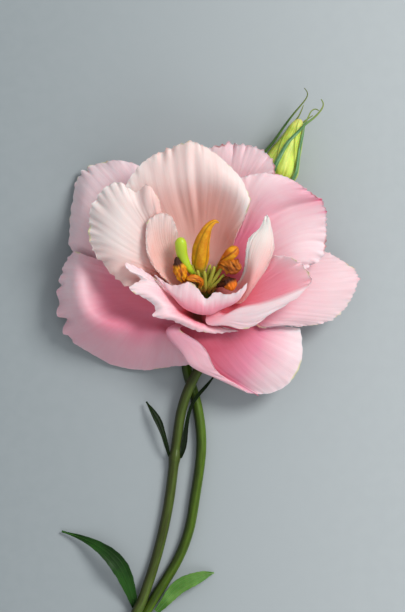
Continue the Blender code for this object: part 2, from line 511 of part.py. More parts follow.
def add_stems():
    top = RECEPTACLE_PROFILE[0][0] - SEAT_GAP
    neck = [tuple(flower_point(0, 0, top - 1.6)), tuple(flower_point(0, 0, top))]
    path = smooth_path(MAIN_STEM + neck, 46)
    add_object("main_stem", "stem", *tube(path, np.full(46, STEM_RADIUS), 10))
    path = smooth_path(BUD_STEM, 46)
    add_object("bud_stem", "stem", *tube(path, np.full(46, STEM_RADIUS), 10))


def add_blades():
    for name, (finish, places) in BLADES.items():
        points = np.array([p for p, w in places], float)
        widths = np.array([w for p, w in places])
        knots = chord_knots(points)
        at = np.linspace(0, 1, 13)
        path = spline(knots, points, at)
        half = np.maximum(spline(knots, widths, at), 0.1)[:, None]
        side = unit(np.cross(np.gradient(path, axis=0), [0.0, 0.0, 1.0]))
        lift = np.array([0.0, 0.0, 1.0]) * half * BLADE_FOLD
        grid = np.stack([path - side * half + lift, path, path + side * half + lift], axis=1)
        add_object(name, finish, *sheet_shell(grid, LEAF_THICKNESS))


def bud_frame():
    axis = BUD_TIP - BUD_BASE
    length = np.linalg.norm(axis)
    axis = axis / length
    side = unit(np.cross(axis, [0.0, 0.0, 1.0]))
    return axis, side, np.cross(side, axis), length


def bud_radius(share):
    """Radius of the closed petals at a share of the bud's length."""
    return BUD_RADIUS * np.interp(share, [0, 0.12, 0.22, 0.3, 0.5, 0.68, 0.84, 0.95, 1],
                                  [0.34, 0.76, 0.96, 1, 0.8, 0.58, 0.43, 0.3, 0.12])


def add_bud():
    axis, side, up, length = bud_frame()
    shares = np.linspace(0.02, 1, 13)
    profile = [(share * length, float(bud_radius(share))) for share in shares]
    turned("bud_corolla", "bud", BUD_BASE, axis, profile, 14)
    turned("bud_receptacle", "calyx", BUD_BASE, axis, BUD_RECEPTACLE_PROFILE, 12)


def add_bud_sepals():
    """Linear sepals that follow the bud and end in free, curled tips."""
    axis, side, up, length = bud_frame()
    for name, (azimuths, held, tip) in BUD_SEPALS.items():
        outs = [cos(radians(azimuth)) * side + sin(radians(azimuth)) * up
                for azimuth in np.broadcast_to(azimuths, held)]
        out = outs[0]
        clear = SEAT_GAP + SEPAL_THICKNESS / 2
        shoulder, width = BUD_RECEPTACLE_PROFILE[1]
        points = [BUD_BASE + axis * shoulder + out * (width + clear)]
        points += [BUD_BASE + axis * length * share + outward * (float(bud_radius(share)) + clear)
                   for share, outward in zip(BUD_SEPAL_PLACES, outs)]
        path = smooth_path(points + [np.array(p) for p in tip], 18)
        radii = 0.62 * np.sqrt(1 - np.linspace(0, 1, 18)**2 * 0.93)
        add_object(name, "calyx", *tube(path, radii, 6, flat=0.4, up=out))


def centre_on_surface():
    """Parents every piece to an empty that brings the middle of the stem's box to the origin."""
    pieces = [piece for piece in bpy.data.objects if piece.type == "MESH"]
    corners = np.array([np.array(vertex.co) + np.array(piece.location)
                        for piece in pieces for vertex in piece.data.vertices])
    low, high = corners.min(axis=0), corners.max(axis=0)
    frame = bpy.data.objects.new("lisianthus", None)
    bpy.context.scene.collection.objects.link(frame)
    frame.location = (-(low[0] + high[0]) / 2, -(low[1] + high[1]) / 2, -low[2])
    for piece in pieces:
        piece.parent = frame


def main():
    for old in list(bpy.data.objects):
        bpy.data.objects.remove(old, do_unlink=True)
    add_stems()
    add_blades()
    add_receptacle()
    add_flower_sepals()
    add_petals()
    add_stamens()
    add_pistil()
    add_bud()
    add_bud_sepals()
    centre_on_surface()


main()
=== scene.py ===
"""The looks of the cut lisianthus stem: petals, stamens, bud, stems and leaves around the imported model.

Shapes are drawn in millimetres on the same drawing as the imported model. place() brings a drawn point
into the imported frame, from where the receptacle lies there. Colours are 8-bit screen values.
"""
from math import cos, pi, radians, sin, tau

import bpy
import numpy as np
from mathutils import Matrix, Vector


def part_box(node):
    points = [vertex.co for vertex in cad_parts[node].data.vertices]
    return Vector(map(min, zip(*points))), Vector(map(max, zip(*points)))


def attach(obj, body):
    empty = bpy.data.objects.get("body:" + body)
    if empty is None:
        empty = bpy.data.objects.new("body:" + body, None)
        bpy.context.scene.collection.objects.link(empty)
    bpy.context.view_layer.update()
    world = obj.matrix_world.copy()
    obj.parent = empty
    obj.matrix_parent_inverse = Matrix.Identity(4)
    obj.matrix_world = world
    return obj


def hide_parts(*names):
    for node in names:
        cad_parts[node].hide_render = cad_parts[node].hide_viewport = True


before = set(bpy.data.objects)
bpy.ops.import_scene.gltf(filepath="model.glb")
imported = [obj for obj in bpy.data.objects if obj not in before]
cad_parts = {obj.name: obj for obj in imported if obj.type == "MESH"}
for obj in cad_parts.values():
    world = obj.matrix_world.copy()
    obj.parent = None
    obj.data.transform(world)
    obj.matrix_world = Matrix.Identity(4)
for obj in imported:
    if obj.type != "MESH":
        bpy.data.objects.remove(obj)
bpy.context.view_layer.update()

MM = 0.001
UP = np.array([0.0, 0.0, 1.0])

# The flower's own frame, as in the construction.
FLOWER_CENTRE = np.array([0.4, 4.0, 11.0])
FLOWER_LEAN = radians(38)
FLOWER_AXIS = np.array([0.0, sin(FLOWER_LEAN), cos(FLOWER_LEAN)])
FLOWER_SIDE = np.array([1.0, 0.0, 0.0])
FLOWER_BACK = np.array([0.0, cos(FLOWER_LEAN), -sin(FLOWER_LEAN)])
SHOULDER_HEIGHT = -2.6
RECEPTACLE_PROFILE = [(-8.4, 1.3), (-7.4, 1.9), (-6, 2.7), (-4.6, 3.9), (-3.4, 4.8), (SHOULDER_HEIGHT, 4.4)]
ROOT_HEIGHT = SHOULDER_HEIGHT + 0.3  # where petals, stamens and pistil start


def drawing_shift():
    """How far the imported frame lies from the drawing, from the receptacle's box in both."""
    low, high = (np.array(corner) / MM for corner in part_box("receptacle"))
    back = max(along * sin(FLOWER_LEAN) + radius * cos(FLOWER_LEAN) for along, radius in RECEPTACLE_PROFILE)
    down = min(along * cos(FLOWER_LEAN) - radius * sin(FLOWER_LEAN) for along, radius in RECEPTACLE_PROFILE)
    drawn = FLOWER_CENTRE + np.array([0, back, down])
    return np.array([(low[0] + high[0]) / 2, high[1], low[2]]) - drawn


SHIFT = drawing_shift()


def place(points):
    return (np.asarray(points, float) + SHIFT) * MM


# ---- curves ----

def spline(knots, values, at):
    """Natural cubic spline through values at knots, read at the places in at."""
    knots, values, at = (np.asarray(a, float) for a in (knots, values, at))
    step = np.diff(knots)
    size = len(knots)
    matrix = np.eye(size)
    right = np.zeros((size,) + values.shape[1:])
    column = (-1,) + (1,) * (values.ndim - 1)
    slope = (values[1:] - values[:-1]) / step.reshape(column)
    for i in range(1, size - 1):
        matrix[i, i - 1:i + 2] = step[i - 1], 2 * (step[i - 1] + step[i]), step[i]
        right[i] = 6 * (slope[i] - slope[i - 1])
    bend = np.linalg.solve(matrix, right.reshape(size, -1)).reshape(right.shape)
    cell = np.clip(np.searchsorted(knots, at, side="right") - 1, 0, size - 2)
    width = step[cell].reshape(column)
    after = (at - knots[cell]).reshape(column)
    before = width - after
    return ((bend[cell] * before**3 + bend[cell + 1] * after**3) / (6 * width)
            + (values[cell] / width - bend[cell] * width / 6) * before
            + (values[cell + 1] / width - bend[cell + 1] * width / 6) * after)


def chord_knots(points):
    lengths = np.linalg.norm(np.diff(points, axis=0), axis=1)
    return np.concatenate([[0], np.cumsum(lengths)]) / lengths.sum()


def smooth_path(points, count):
    points = np.asarray(points, float)
    return spline(chord_knots(points), points, np.linspace(0, 1, count))


def widening_path(places, count, least):
    """Smooth path through a list of (x, y, z, width), with the widths and the shares of its length."""
    places = np.array(places, float)
    knots = chord_knots(places[:, :3])
    at = np.linspace(0, 1, count)
    path = spline(knots, places, at)
    return path[:, :3], np.maximum(path[:, 3], least), at[:, None]


def unit(vectors):
    return vectors / np.maximum(np.linalg.norm(vectors, axis=-1, keepdims=True), 1e-12)


def ease(value, low, high):
    """Smooth step from 0 at low to 1 at high."""
    t = np.clip((value - low) / (high - low), 0, 1)
    return t * t * (3 - 2 * t)


def bell(distance, width):
    return np.exp(-(distance / width)**2)


def ripple(length, wavelength, seed):
    """Irregular wave of about the given wavelength along a length, between about -1 and 1."""
    draw = np.random.RandomState(seed)
    total = np.zeros_like(length)
    for stretch, share in ((1.0, 0.6), (1.57, 0.35), (0.62, 0.3)):
        phase = draw.uniform(0, tau)
        drift = draw.uniform(0.85, 1.15)
        total = total + share * np.sin(tau * length / (wavelength * stretch * drift) + phase)
    return total


def circle(count):
    return np.linspace(0, tau, count, endpoint=False)[None]


def ring(radii, angles):
    return np.stack([radii * np.cos(angles), radii * np.sin(angles)], axis=-1)


def rounded_end(at, length):
    """Factor that closes the last share of a body to a round tip."""
    t = np.clip((at - (1 - length)) / length, 0, 1)
    return np.sqrt(np.maximum(1 - t**2, 0.0004))


def flower_point(azimuth, radius, height):
    angle = radians(azimuth)
    out = cos(angle) * FLOWER_SIDE + sin(angle) * FLOWER_BACK
    return FLOWER_CENTRE + radius * out + height * FLOWER_AXIS


# ---- meshes ----

def add_object(name, data):
    item = bpy.data.objects.new(name, data)
    bpy.context.scene.collection.objects.link(item)
    return item


def add_piece(name, points, faces, material, node, layers):
    """A smooth mesh piece, riding on the stem. layers are per-vertex numbers that its material reads."""
    mesh = bpy.data.meshes.new(name)
    mesh.from_pydata(place(points).tolist(), [], faces)
    for layer, values in layers.items():
        attribute = mesh.attributes.new(layer, "FLOAT", "POINT")
        attribute.data.foreach_set("value", np.asarray(values, np.float32))
    mesh.shade_smooth()
    mesh.materials.append(material)
    piece = add_object(name, mesh)
    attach(piece, "root")
    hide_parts(node)


def quads(index):
    """Faces over a grid of point numbers."""
    return np.stack([index[:-1, :-1], index[:-1, 1:], index[1:, 1:], index[1:, :-1]], axis=-1).reshape(-1, 4)


def add_shell(name, grid, thickness, material, node, layers):
    """A closed shell about a grid. thickness and layers may vary over the grid."""
    normal = unit(np.cross(np.gradient(grid, axis=0), np.gradient(grid, axis=1)))
    shape = grid.shape[:2]
    half = np.broadcast_to(thickness, shape)[..., None] / 2
    points = np.concatenate([(grid + normal * half).reshape(-1, 3), (grid - normal * half).reshape(-1, 3)])
    front = np.arange(grid[..., 0].size).reshape(shape)
    back = front + front.size
    edge = np.concatenate([front[0, :-1], front[:-1, -1], front[-1, :0:-1], front[:0:-1, 0]])
    following = np.roll(edge, -1)
    rim = np.stack([edge, edge + front.size, following + front.size, following], axis=-1)
    faces = np.concatenate([quads(front)[:, ::-1], quads(back), rim]).tolist()
    both = {layer: np.tile(np.broadcast_to(values, shape).ravel(), 2) for layer, values in layers.items()}
    add_piece(name, points, faces, material, node, both)


def frames_along(path, up):
    """Side and rise vectors along a path, carried without twist from an up hint."""
    tangents = unit(np.gradient(path, axis=0))
    side = np.cross(tangents[0], up)
    sides = []
    for tangent in tangents:
        side = unit(side - tangent * np.dot(side, tangent))
        sides.append(side)
    return np.array(sides), np.cross(sides, tangents)


def swept(path, outline, up):
    """Closed body swept along a path. outline gives (across, up) offsets for each ring and angle."""
    side, rise = frames_along(path, up)
    rings = path[:, None] + outline[..., :1] * side[:, None] + outline[..., 1:] * rise[:, None]
    points = np.concatenate([rings.reshape(-1, 3), path[:1], path[-1:]])
    index = np.arange(rings[..., 0].size).reshape(rings.shape[:2])
    faces = quads(np.concatenate([index, index[:, :1]], axis=1)).tolist()
    start, end = index.size, index.size + 1
    for first, last in zip(index.T, np.roll(index, -1, axis=1).T):
        faces.append([start, last[0], first[0]])
        faces.append([end, first[-1], last[-1]])
    return points, faces


def add_swept(name, bodies, material, node, up=UP):
    """One piece of swept bodies, each given as its path, its ring outlines and its layers."""
    points, faces, layers = [], [], {}
    for path, outline, values in bodies:
        body_points, body_faces = swept(path, outline, up)
        faces += [[len(points) + corner for corner in face] for face in body_faces]
        points += list(body_points)
        for layer, value in values.items():
            value = np.broadcast_to(value, outline.shape[:2])
            layers[layer] = [*layers.get(layer, []), *value.ravel(), value[0].mean(), value[-1].mean()]
    add_piece(name, points, faces, material, node, layers)


# ---- material nodes ----

def srgb(red, green, blue):
    """A colour given as 8-bit screen values, as linear light."""
    shares = np.array([red, green, blue]) / 255
    linear = np.where(shares <= 0.04045, shares / 12.92, ((shares + 0.055) / 1.055) ** 2.4)
    return tuple(float(x) for x in linear)


class Shader:
    """A material's node tree, with short calls for the nodes used here. subsurface: weight and scale."""

    def __init__(self, name, roughness, specular, subsurface=(0.0, 0.05), **constants):
        self.material = bpy.data.materials.new(name)
        self.material.use_nodes = True
        self.tree = self.material.node_tree
        self.inputs = self.tree.nodes["Principled BSDF"].inputs
        self.inputs["Roughness"].default_value = roughness
        self.inputs["Specular IOR Level"].default_value = specular
        self.inputs["Subsurface Weight"].default_value = subsurface[0]
        self.inputs["Subsurface Scale"].default_value = subsurface[1]
        for socket, value in constants.items():
            self.inputs[socket.replace("_", " ")].default_value = value

    def feed(self, socket, value):
        """Link a socket, or set it. A tuple is a screen colour."""
        if isinstance(value, bpy.types.NodeSocket):
            self.tree.links.new(value, socket)
        else:
            socket.default_value = (*srgb(*value), 1) if isinstance(value, tuple) else value

    def node(self, kind, values=(), **settings):
        node = self.tree.nodes.new(kind)
        for key, value in settings.items():
            setattr(node, key, value)
        for socket, value in zip(node.inputs, values):
            self.feed(socket, value)
        return node

    def layer(self, name):
        return self.node("ShaderNodeAttribute", attribute_name=name).outputs["Fac"]

    def layers(self, *names):
        return (self.layer(name) for name in names)

    def math(self, operation, *values):
        return self.node("ShaderNodeMath", values, operation=operation).outputs[0]

    def times(self, a, b):
        return self.math("MULTIPLY", a, b)

    def plus(self, a, b):
        return self.math("ADD", a, b)

    def blend(self, a, share, rest):
        return self.math("MULTIPLY_ADD", a, share, rest)

    def shaken(self, value, noise, share):
        """A value moved up and down by a share of a noise."""
        return self.blend(self.math("SUBTRACT", noise, 0.5), share, value)

    def noise(self, vector, scale, detail, roughness=0.5):
        node = self.node("ShaderNodeTexNoise")
        self.feed(node.inputs["Vector"], vector)
        for socket, value in (("Scale", scale), ("Detail", detail), ("Roughness", roughness)):
            node.inputs[socket].default_value = value
        return node.outputs["Fac"]

    def cloud(self, scale, detail=3.0):
        return self.noise(self.node("ShaderNodeTexCoord").outputs["Object"], scale, detail)

    def strands(self, across, fine, along, coarse, detail, roughness=0.5):
        """Noise in stretched streaks, from how often it changes across and along a piece."""
        spot = self.node("ShaderNodeCombineXYZ", (self.times(across, fine), self.times(along, coarse)))
        return self.noise(spot.outputs[0], 1.0, detail, roughness)

    def fit(self, value, low, high, to_low=0.0, to_high=1.0):
        """Smooth step of a value between low and high, brought to the range from to_low to to_high."""
        values = (value, low, high, to_low, to_high)
        return self.node("ShaderNodeMapRange", values, interpolation_type="SMOOTHSTEP").outputs[0]

    def mix(self, factor, a, b):
        node = self.node("ShaderNodeMix", data_type="RGBA")
        for socket, value in ((0, factor), (6, a), (7, b)):
            self.feed(node.inputs[socket], value)
        return node.outputs[2]

    def ramp(self, factor, stops):
        node = self.node("ShaderNodeValToRGB", (factor,))
        elements = node.color_ramp.elements
        while len(elements) < len(stops):
            elements.new(0.5)
        for element, (position, colour) in zip(elements, stops):
            element.position = position
            element.color = (*srgb(*colour), 1)
        return node.outputs[0]

    def finish(self, colour, height, strength, distance, roughness=None):
        """The material, with its colour, the bump of a height and perhaps a roughness that varies."""
        bump = self.node("ShaderNodeBump")
        for socket, value in (("Strength", strength), ("Distance", distance), ("Height", height)):
            self.feed(bump.inputs[socket], value)
        self.feed(self.inputs["Normal"], bump.outputs[0])
        self.feed(self.inputs["Base Color"], colour)
        if roughness:
            self.feed(self.inputs["Roughness"], roughness)
        return self.material


# Dried brown for browned tips, also used as painted shade in dark gaps between petals.
DRIED_BROWN_AND_GAP_SHADE = (88, 34, 20)


def petal_material(name, pale, rose, deep, rim):
    """Petal tissue with fanned streaks and a tinged rim. tint runs from pale at 0 to dried brown at 1.5, a
    brown that also serves as painted shade in dark gaps between petals.
    """
    shader = Shader(name, 0.5, 0.3, (0.6, 0.0006), Sheen_Weight=0.1, Sheen_Roughness=0.4,
                    Subsurface_Radius=(1, 0.55, 0.5))
    along, across, edge, tint = shader.layers("along", "across", "edge", "tint")
    streaks = shader.strands(across, 22, along, 2.2, 4, 0.6)
    fine = shader.strands(across, 70, along, 6, 2)
    cloud = shader.cloud(90)
    tone = shader.shaken(shader.shaken(shader.shaken(tint, streaks, 0.15), cloud, 0.16), fine, 0.06)
    base = shader.ramp(shader.math("DIVIDE", tone, 1.5),
                       [(0, pale), (0.333, rose), (0.667, deep), (1, DRIED_BROWN_AND_GAP_SHADE)])
    patches = shader.fit(shader.cloud(150), 0.56, 0.66)
    at_rim = shader.fit(edge, 0.1, 0.7, 0.8, 0)
    height = shader.blend(cloud, 0.3, shader.blend(fine, 0.5, shader.times(streaks, 0.8)))
    return shader.finish(shader.mix(shader.times(at_rim, patches), base, rim), height, 0.16, 0.0003,
                         shader.fit(fine, 0.2, 0.8, 0.44, 0.6))


def stem_material(name, dark, bright):
    """Ribbed skin with painted shade darkening its left side, away from the key lamp, and pale pith where cut
    is 1.
    """
    shader = Shader(name, 0.42, 0.28, (0.1, 0.001))
    along, around, cut, side = shader.layers("along", "around", "cut", "side")
    ribs = shader.strands(around, 11, along, 1, 3)
    cloud = shader.cloud(60)
    tone = shader.blend(ribs, 0.55, shader.times(cloud, 0.5))
    skin = shader.mix(shader.fit(tone, 0.3, 0.66, 0.25, 1), dark, bright)
    # Painted shade: the left side of the stalk is mixed towards the dark colour.
    skin = shader.mix(shader.fit(side, -0.9, 0.6, 0.9, 0), skin, dark)
    skin = shader.mix(shader.times(cut, 0.8), skin, (150, 160, 110))
    return shader.finish(skin, shader.plus(ribs, shader.cloud(900, 2)), 0.25, 0.0002,
                         shader.fit(cloud, 0.3, 0.7, 0.36, 0.5))


LATERAL_VEIN = 0.52  # place of a blade's side veins, from its middle (0) to its edge (1)


def leaf_material(name, dark, light, vein):
    """A blade with lengthwise veins. along runs to the tip and across from edge to edge."""
    shader = Shader(name, 0.46, 0.22, (0.15, 0.0008))
    along, across = shader.layers("along", "across")
    cloud = shader.cloud(160, 4)
    side = shader.math("ABSOLUTE", across)
    middle = shader.fit(side, 0, 0.1, 1, 0)
    off_vein = shader.math("ABSOLUTE", shader.math("SUBTRACT", side, LATERAL_VEIN))
    lateral = shader.fit(off_vein, 0, 0.07, 0.5, 0)
    fine = shader.strands(across, 16, along, 5, 3)
    veins = shader.math("MAXIMUM", middle, lateral)
    base = shader.mix(shader.fit(cloud, 0.35, 0.65), dark, light)
    base = shader.mix(shader.times(veins, 0.6), base, vein)
    base = shader.mix(shader.fit(fine, 0.45, 0.7, 0, 0.25), base, dark)
    return shader.finish(base, shader.blend(fine, 0.7, shader.times(veins, -0.9)), 0.4, 0.0003,
                         shader.fit(fine, 0.3, 0.7, 0.38, 0.55))


def anther_material(name, light, dark, groove, tip=None):
    """Granular pollen sacs on a green filament. The groove colour lies between the lobes."""
    shader = Shader(name, 0.6, 0.32, (0.1, 0.0006))
    along, lobe, ripe = shader.layers("along", "lobe", "ripe")
    grain = shader.cloud(2600)
    cloud = shader.cloud(420)
    base = shader.mix(shader.fit(cloud, 0.36, 0.62), light, dark)
    base = shader.mix(shader.fit(lobe, 0.05, 0.5, 0.85, 0), base, groove)
    base = shader.mix(shader.fit(grain, 0.5, 0.75, 0, 0.35), base, dark)
    if tip:
        base = shader.mix(shader.layer("tip"), base, tip)
    filament = shader.mix(shader.fit(along, 0.1, 0.4), (86, 106, 18), (176, 174, 66))
    base = shader.mix(ripe, filament, base)
    return shader.finish(base, shader.plus(grain, shader.times(cloud, 0.8)), 0.5, 0.0003)


def organ_material(name, low, high, roughness, grain, stops):
    """Smooth tissue that changes colour along its length, between the two stops."""
    shader = Shader(name, roughness, 0.45, (0.3, 0.0009))
    cloud = shader.cloud(grain)
    tone = shader.shaken(shader.layer("along"), cloud, 0.3)
    return shader.finish(shader.mix(shader.fit(tone, *stops), low, high), cloud, 0.25, 0.0002)


def sepal_material(name, dark, light, tip):
    """Narrow green lobe with lengthwise stripes, and another colour at its dry tip."""
    shader = Shader(name, 0.48, 0.4, (0.12, 0.0006))
    along, around = shader.layers("along", "around")
    cloud = shader.cloud(500)
    stripes = shader.strands(around, 9, along, 6, 2)
    tone = shader.blend(stripes, 0.6, shader.times(cloud, 0.4))
    base = shader.mix(shader.fit(tone, 0.35, 0.65), dark, light)
    base = shader.mix(shader.fit(along, 0.62, 0.9), base, tip)
    return shader.finish(base, shader.plus(stripes, cloud), 0.3, 0.0002)


def bud_material():
    """Closed petals: lime, yellower at the tip, with painted shade darkening the creases between the folds."""
    shader = Shader("closed_petal_tissue", 0.42, 0.4, (0.4, 0.001))
    along, around, groove, fold = shader.layers("along", "around", "groove", "fold")
    streaks = shader.strands(around, 60, along, 4, 3)
    cloud = shader.cloud(250)
    tone = shader.blend(streaks, 0.5, shader.times(cloud, 0.5))
    base = shader.mix(shader.fit(tone, 0.36, 0.64), (168, 188, 58), (224, 240, 112))
    base = shader.mix(shader.fit(fold, 0.55, 0.95, 0, 0.4), base, (190, 214, 84))
    # Painted shade in the creases between the folds.
    base = shader.mix(shader.fit(groove, 0.2, 1, 0, 0.45), base, (134, 150, 30))
    base = shader.mix(shader.fit(along, 0.82, 1, 0, 0.6), base, (226, 222, 132))
    return shader.finish(base, shader.plus(streaks, cloud), 0.2, 0.0002)


# ---- stage ----

CAMERA_HEIGHT = 0.95
VIEW_HEIGHT = 0.153  # length of the view's long side at the flower's middle
FOCUS_HEIGHT = 12.0
SENSOR = 36
FLOOR_HALF = 3.0
LIGHT_TARGET = (0, 0.02, 0)


def add_camera():
    data = bpy.data.cameras.new("camera")
    data.sensor_width = SENSOR
    data.lens = SENSOR * CAMERA_HEIGHT / VIEW_HEIGHT
    data.clip_start = 0.01
    data.clip_end = 20
    camera = add_object("camera", data)
    camera.location = place([0, 0, FOCUS_HEIGHT]) + CAMERA_HEIGHT * UP
    bpy.context.scene.camera = camera


def add_light(name, position, size, power, colour):
    data = bpy.data.lights.new(name, "AREA")
    data.shape = "DISK"
    data.size = size
    data.energy = power
    data.color = colour
    lamp = add_object(name, data)
    lamp.location = position
    lamp.rotation_euler = Vector(np.subtract(position, LIGHT_TARGET)).to_track_quat("Z", "Y").to_euler()


def add_stage():
    """Pale floor with painted light falloff, darker on the left and lighter on the right, pale world and soft
    lamps.
    """
    mesh = bpy.data.meshes.new("floor")
    corners = [(x * FLOOR_HALF, y * FLOOR_HALF, 0) for x, y in ((-1, -1), (1, -1), (1, 1), (-1, 1))]
    mesh.from_pydata(corners, [], [(0, 1, 2, 3)])
    floor = add_object("floor", mesh)
    shader = Shader("floor_paper", 0.85, 0.2)
    grain = shader.cloud(300, 4)
    spot = shader.node("ShaderNodeSeparateXYZ", (shader.node("ShaderNodeTexCoord").outputs["Object"],))
    # Painted light falloff: the floor's colour runs from darker on the left to lighter on the right, towards
    # the key lamp.
    paper_and_painted_falloff = shader.mix(shader.fit(spot.outputs[0], -0.09, 0.09), (148, 158, 162), (188, 196, 199))
    paper_and_painted_falloff = shader.mix(shader.fit(grain, 0.35, 0.65, 0, 0.12), paper_and_painted_falloff, (170, 178, 182))
    shader.feed(shader.inputs["Base Color"], paper_and_painted_falloff)
    mesh.materials.append(shader.material)
    world = bpy.data.worlds.new("world")
    world.use_nodes = True
    colour, strength = world.node_tree.nodes["Background"].inputs[:2]
    colour.default_value = (0.96, 0.97, 1.0, 1)
    strength.default_value = 0.46
    bpy.context.scene.world = world
    add_light("key", (0.6, 0.46, 0.74), 0.42, 7.8, (1.0, 0.98, 0.95))
    add_light("fill", (0.3, -0.5, 0.75), 0.6, 1.0, (1.0, 0.99, 0.98))


bpy.context.scene.view_settings.view_transform = "Standard"
add_camera()
add_stage()


# ---- petals ----

CLAW_HALF_WIDTH = 1.1
CLAW_RISE = 1.2
CORNER_ROUNDING = 0.1
PETAL_ROWS = 96
PETAL_COLUMNS = 112
PETAL_THICKNESS = 0.34
RIM_THICKNESS = 0.2
EDGE_BLEND = 1.2  # over which distance the rim's and the sides' nearness merge
THIN_REACH = 1.5
TOOTH_REACH = 0.9
POINT_REACH = 1.2
FULL_RUFFLE_WIDTH = 10.0
RUFFLE_START = (0.25, 0.6)  # shares of the length over which ruffle, frill and teeth set in
PLEAT_HEIGHT = 0.03
PLEAT_WIDTH = 7 / 60  # in places across
ALL_ACROSS = (-2, 2)


def petal_surface(claw, rails):
    """Smooth surface of a petal from its claw to its rim, with the places along (u) and across (v)."""
    azimuth, radius = claw
    half_angle = CLAW_HALF_WIDTH / radius * 180 / pi
    azimuths = np.linspace(azimuth - half_angle, azimuth + half_angle, len(rails))
    stations = np.array([[*(flower_point(a, radius, ROOT_HEIGHT + rise) for rise in (0, CLAW_RISE)), *rail]
                         for a, rail in zip(azimuths, rails)])
    knots = chord_knots(stations.mean(axis=0))
    v = np.linspace(-1, 1, PETAL_COLUMNS)
    lines = spline(np.linspace(-1, 1, len(rails)), stations, v)
    u = np.linspace(0, 1, PETAL_ROWS)
    columns = [spline(knots, line, u * (1 - CORNER_ROUNDING * across**4 * u**2))
               for line, across in zip(lines, v)]
    return np.stack(columns, axis=1), u, v


def edge_measures(grid, v):
    """For each point: distance from the free edge, and place along that edge, both in millimetres."""
    steps_along = np.linalg.norm(np.diff(grid, axis=0), axis=2)
    to_rim = np.concatenate([np.cumsum(steps_along[::-1], axis=0)[::-1], np.zeros((1, grid.shape[1]))])
    steps_across = np.linalg.norm(np.diff(grid, axis=1), axis=2)
    from_left = np.concatenate([np.zeros((grid.shape[0], 1)), np.cumsum(steps_across, axis=1)], axis=1)
    to_side = np.minimum(from_left, from_left[:, -1:] - from_left)
    away = -EDGE_BLEND * np.log(np.exp(-to_rim / EDGE_BLEND) + np.exp(-to_side / EDGE_BLEND))
    away = np.maximum(away + EDGE_BLEND * np.log(1 + np.exp(-np.abs(to_rim - to_side) / EDGE_BLEND)), 0)
    rim_place = from_left[-1] - from_left[-1, len(v) // 2]
    return away, rim_place[None] + np.sign(v)[None] * np.abs(v)[None]**3 * to_rim


def spread(rows, u, v):
    """Shares over a petal from rows of percents, claw to rim. A row is one number, or several across."""
    rows = [np.atleast_1d(row) / 100 for row in rows]
    across = np.array([np.interp(v, np.linspace(-1, 1, len(row)), row) for row in rows])
    down = np.linspace(0, 1, len(rows))
    return np.array([np.interp(u, down, column) for column in across.T]).T


def add_petal(name, tissue, claw, rails, tint, ruffle, frill, teeth, seed,
              frill_side=ALL_ACROSS, folds=(), dents=(), points=()):
    """A petal with a ruffled, frilled and toothed edge.

    claw: azimuth and radius on the receptacle. rails: lines of points from claw to rim, the first on the
    clockwise side, seen from the flower's tip. tint: rows of percents from claw to rim. ruffle and frill:
    height, wavelength and reach from the edge. teeth: depth and spacing. Places across run from -1 to 1:
    frill_side is the stretch with the frill, and each fold is (centre, width, height, start), each dent
    (centre, width, depth, reach) and each point (centre, width, length, browning).
    """
    grid, u, v = petal_surface(claw, rails)
    away, along_edge = edge_measures(grid, v)
    tangent = unit(np.gradient(grid, axis=0))
    normal = unit(np.cross(tangent, np.gradient(grid, axis=1)))
    width = np.linalg.norm(grid[:, -1] - grid[:, 0], axis=1)
    free = (ease(u, *RUFFLE_START) * np.clip(width / FULL_RUFFLE_WIDTH, 0, 1))[:, None]
    low, high = frill_side
    window = ease(v, low - 0.25, low + 0.1) * (1 - ease(v, high - 0.1, high + 0.25))
    lift = 0
    for number, (wave, where, fall) in enumerate([(ruffle, 1, 1.5), (frill, window, 1.3)]):
        height, wavelength, reach = wave
        crests = height * ripple(along_edge, wavelength, seed + number)
        lift = lift + where * crests * np.exp(-(away / reach)**fall)
    for centre, width, height, start in folds:
        lift = lift + height * bell(v - centre, width) * ease(u, start, start + 0.35)[:, None]
    notch = 0
    for centre, width, depth, reach in dents:
        dip = depth * bell(v - centre, width)
        lift = lift - dip * np.exp(-(away / reach)**1.5)
        notch = notch + 0.3 * dip * np.exp(-away / (0.6 * reach))
    lift = lift + PLEAT_HEIGHT * ripple(v, PLEAT_WIDTH, seed + 2) * ease(u, 0.1, 0.5)[:, None]
    depth, spacing = teeth
    tooth = depth * ripple(along_edge, spacing, seed + 3) * np.exp(-away / TOOTH_REACH) - notch
    tone = spread(tint, u, v)
    for centre, width, length, brown in points:
        peak = bell(v - centre, width) * np.exp(-away / POINT_REACH)
        tooth = tooth + length * peak
        tone = tone + brown * peak
    outward = unit(tangent + 0.6 * np.sign(v)[None, :, None] * (np.abs(v) > 0.9)[None, :, None]
                   * unit(np.gradient(grid, axis=1)))
    grid = grid + (free * lift)[..., None] * normal + (free * tooth)[..., None] * outward
    thickness = RIM_THICKNESS + (PETAL_THICKNESS - RIM_THICKNESS) * (1 - np.exp(-away / THIN_REACH))
    add_shell(name.replace("petal", "bloom"), grid, thickness, tissue, name,
              {"along": u[:, None], "across": v, "edge": away, "tint": tone})


PALE, LIME = (247, 222, 226), (206, 206, 138)
OUTER = petal_material("outer_petal_tissue", PALE, (232, 146, 172), (202, 72, 98), LIME)
SHADED = petal_material("shaded_petal_tissue", (236, 209, 216), (230, 138, 162), (224, 82, 96), LIME)
BROWNED = petal_material("browned_petal_tissue", PALE, (232, 142, 170), (206, 84, 100), (186, 118, 120))
BACK = petal_material("back_petal_tissue", (243, 231, 229), (236, 185, 177), (228, 152, 132), LIME)
CUP = petal_material("cup_petal_tissue", (252, 229, 232), (246, 156, 174), (222, 95, 112), LIME)
WHITE = petal_material("white_petal_tissue", (255, 246, 240), (248, 182, 180), (228, 136, 136), (252, 236, 226))
LIT = petal_material("lit_petal_tissue", (236, 211, 215), (228, 142, 166), (202, 72, 98), LIME)

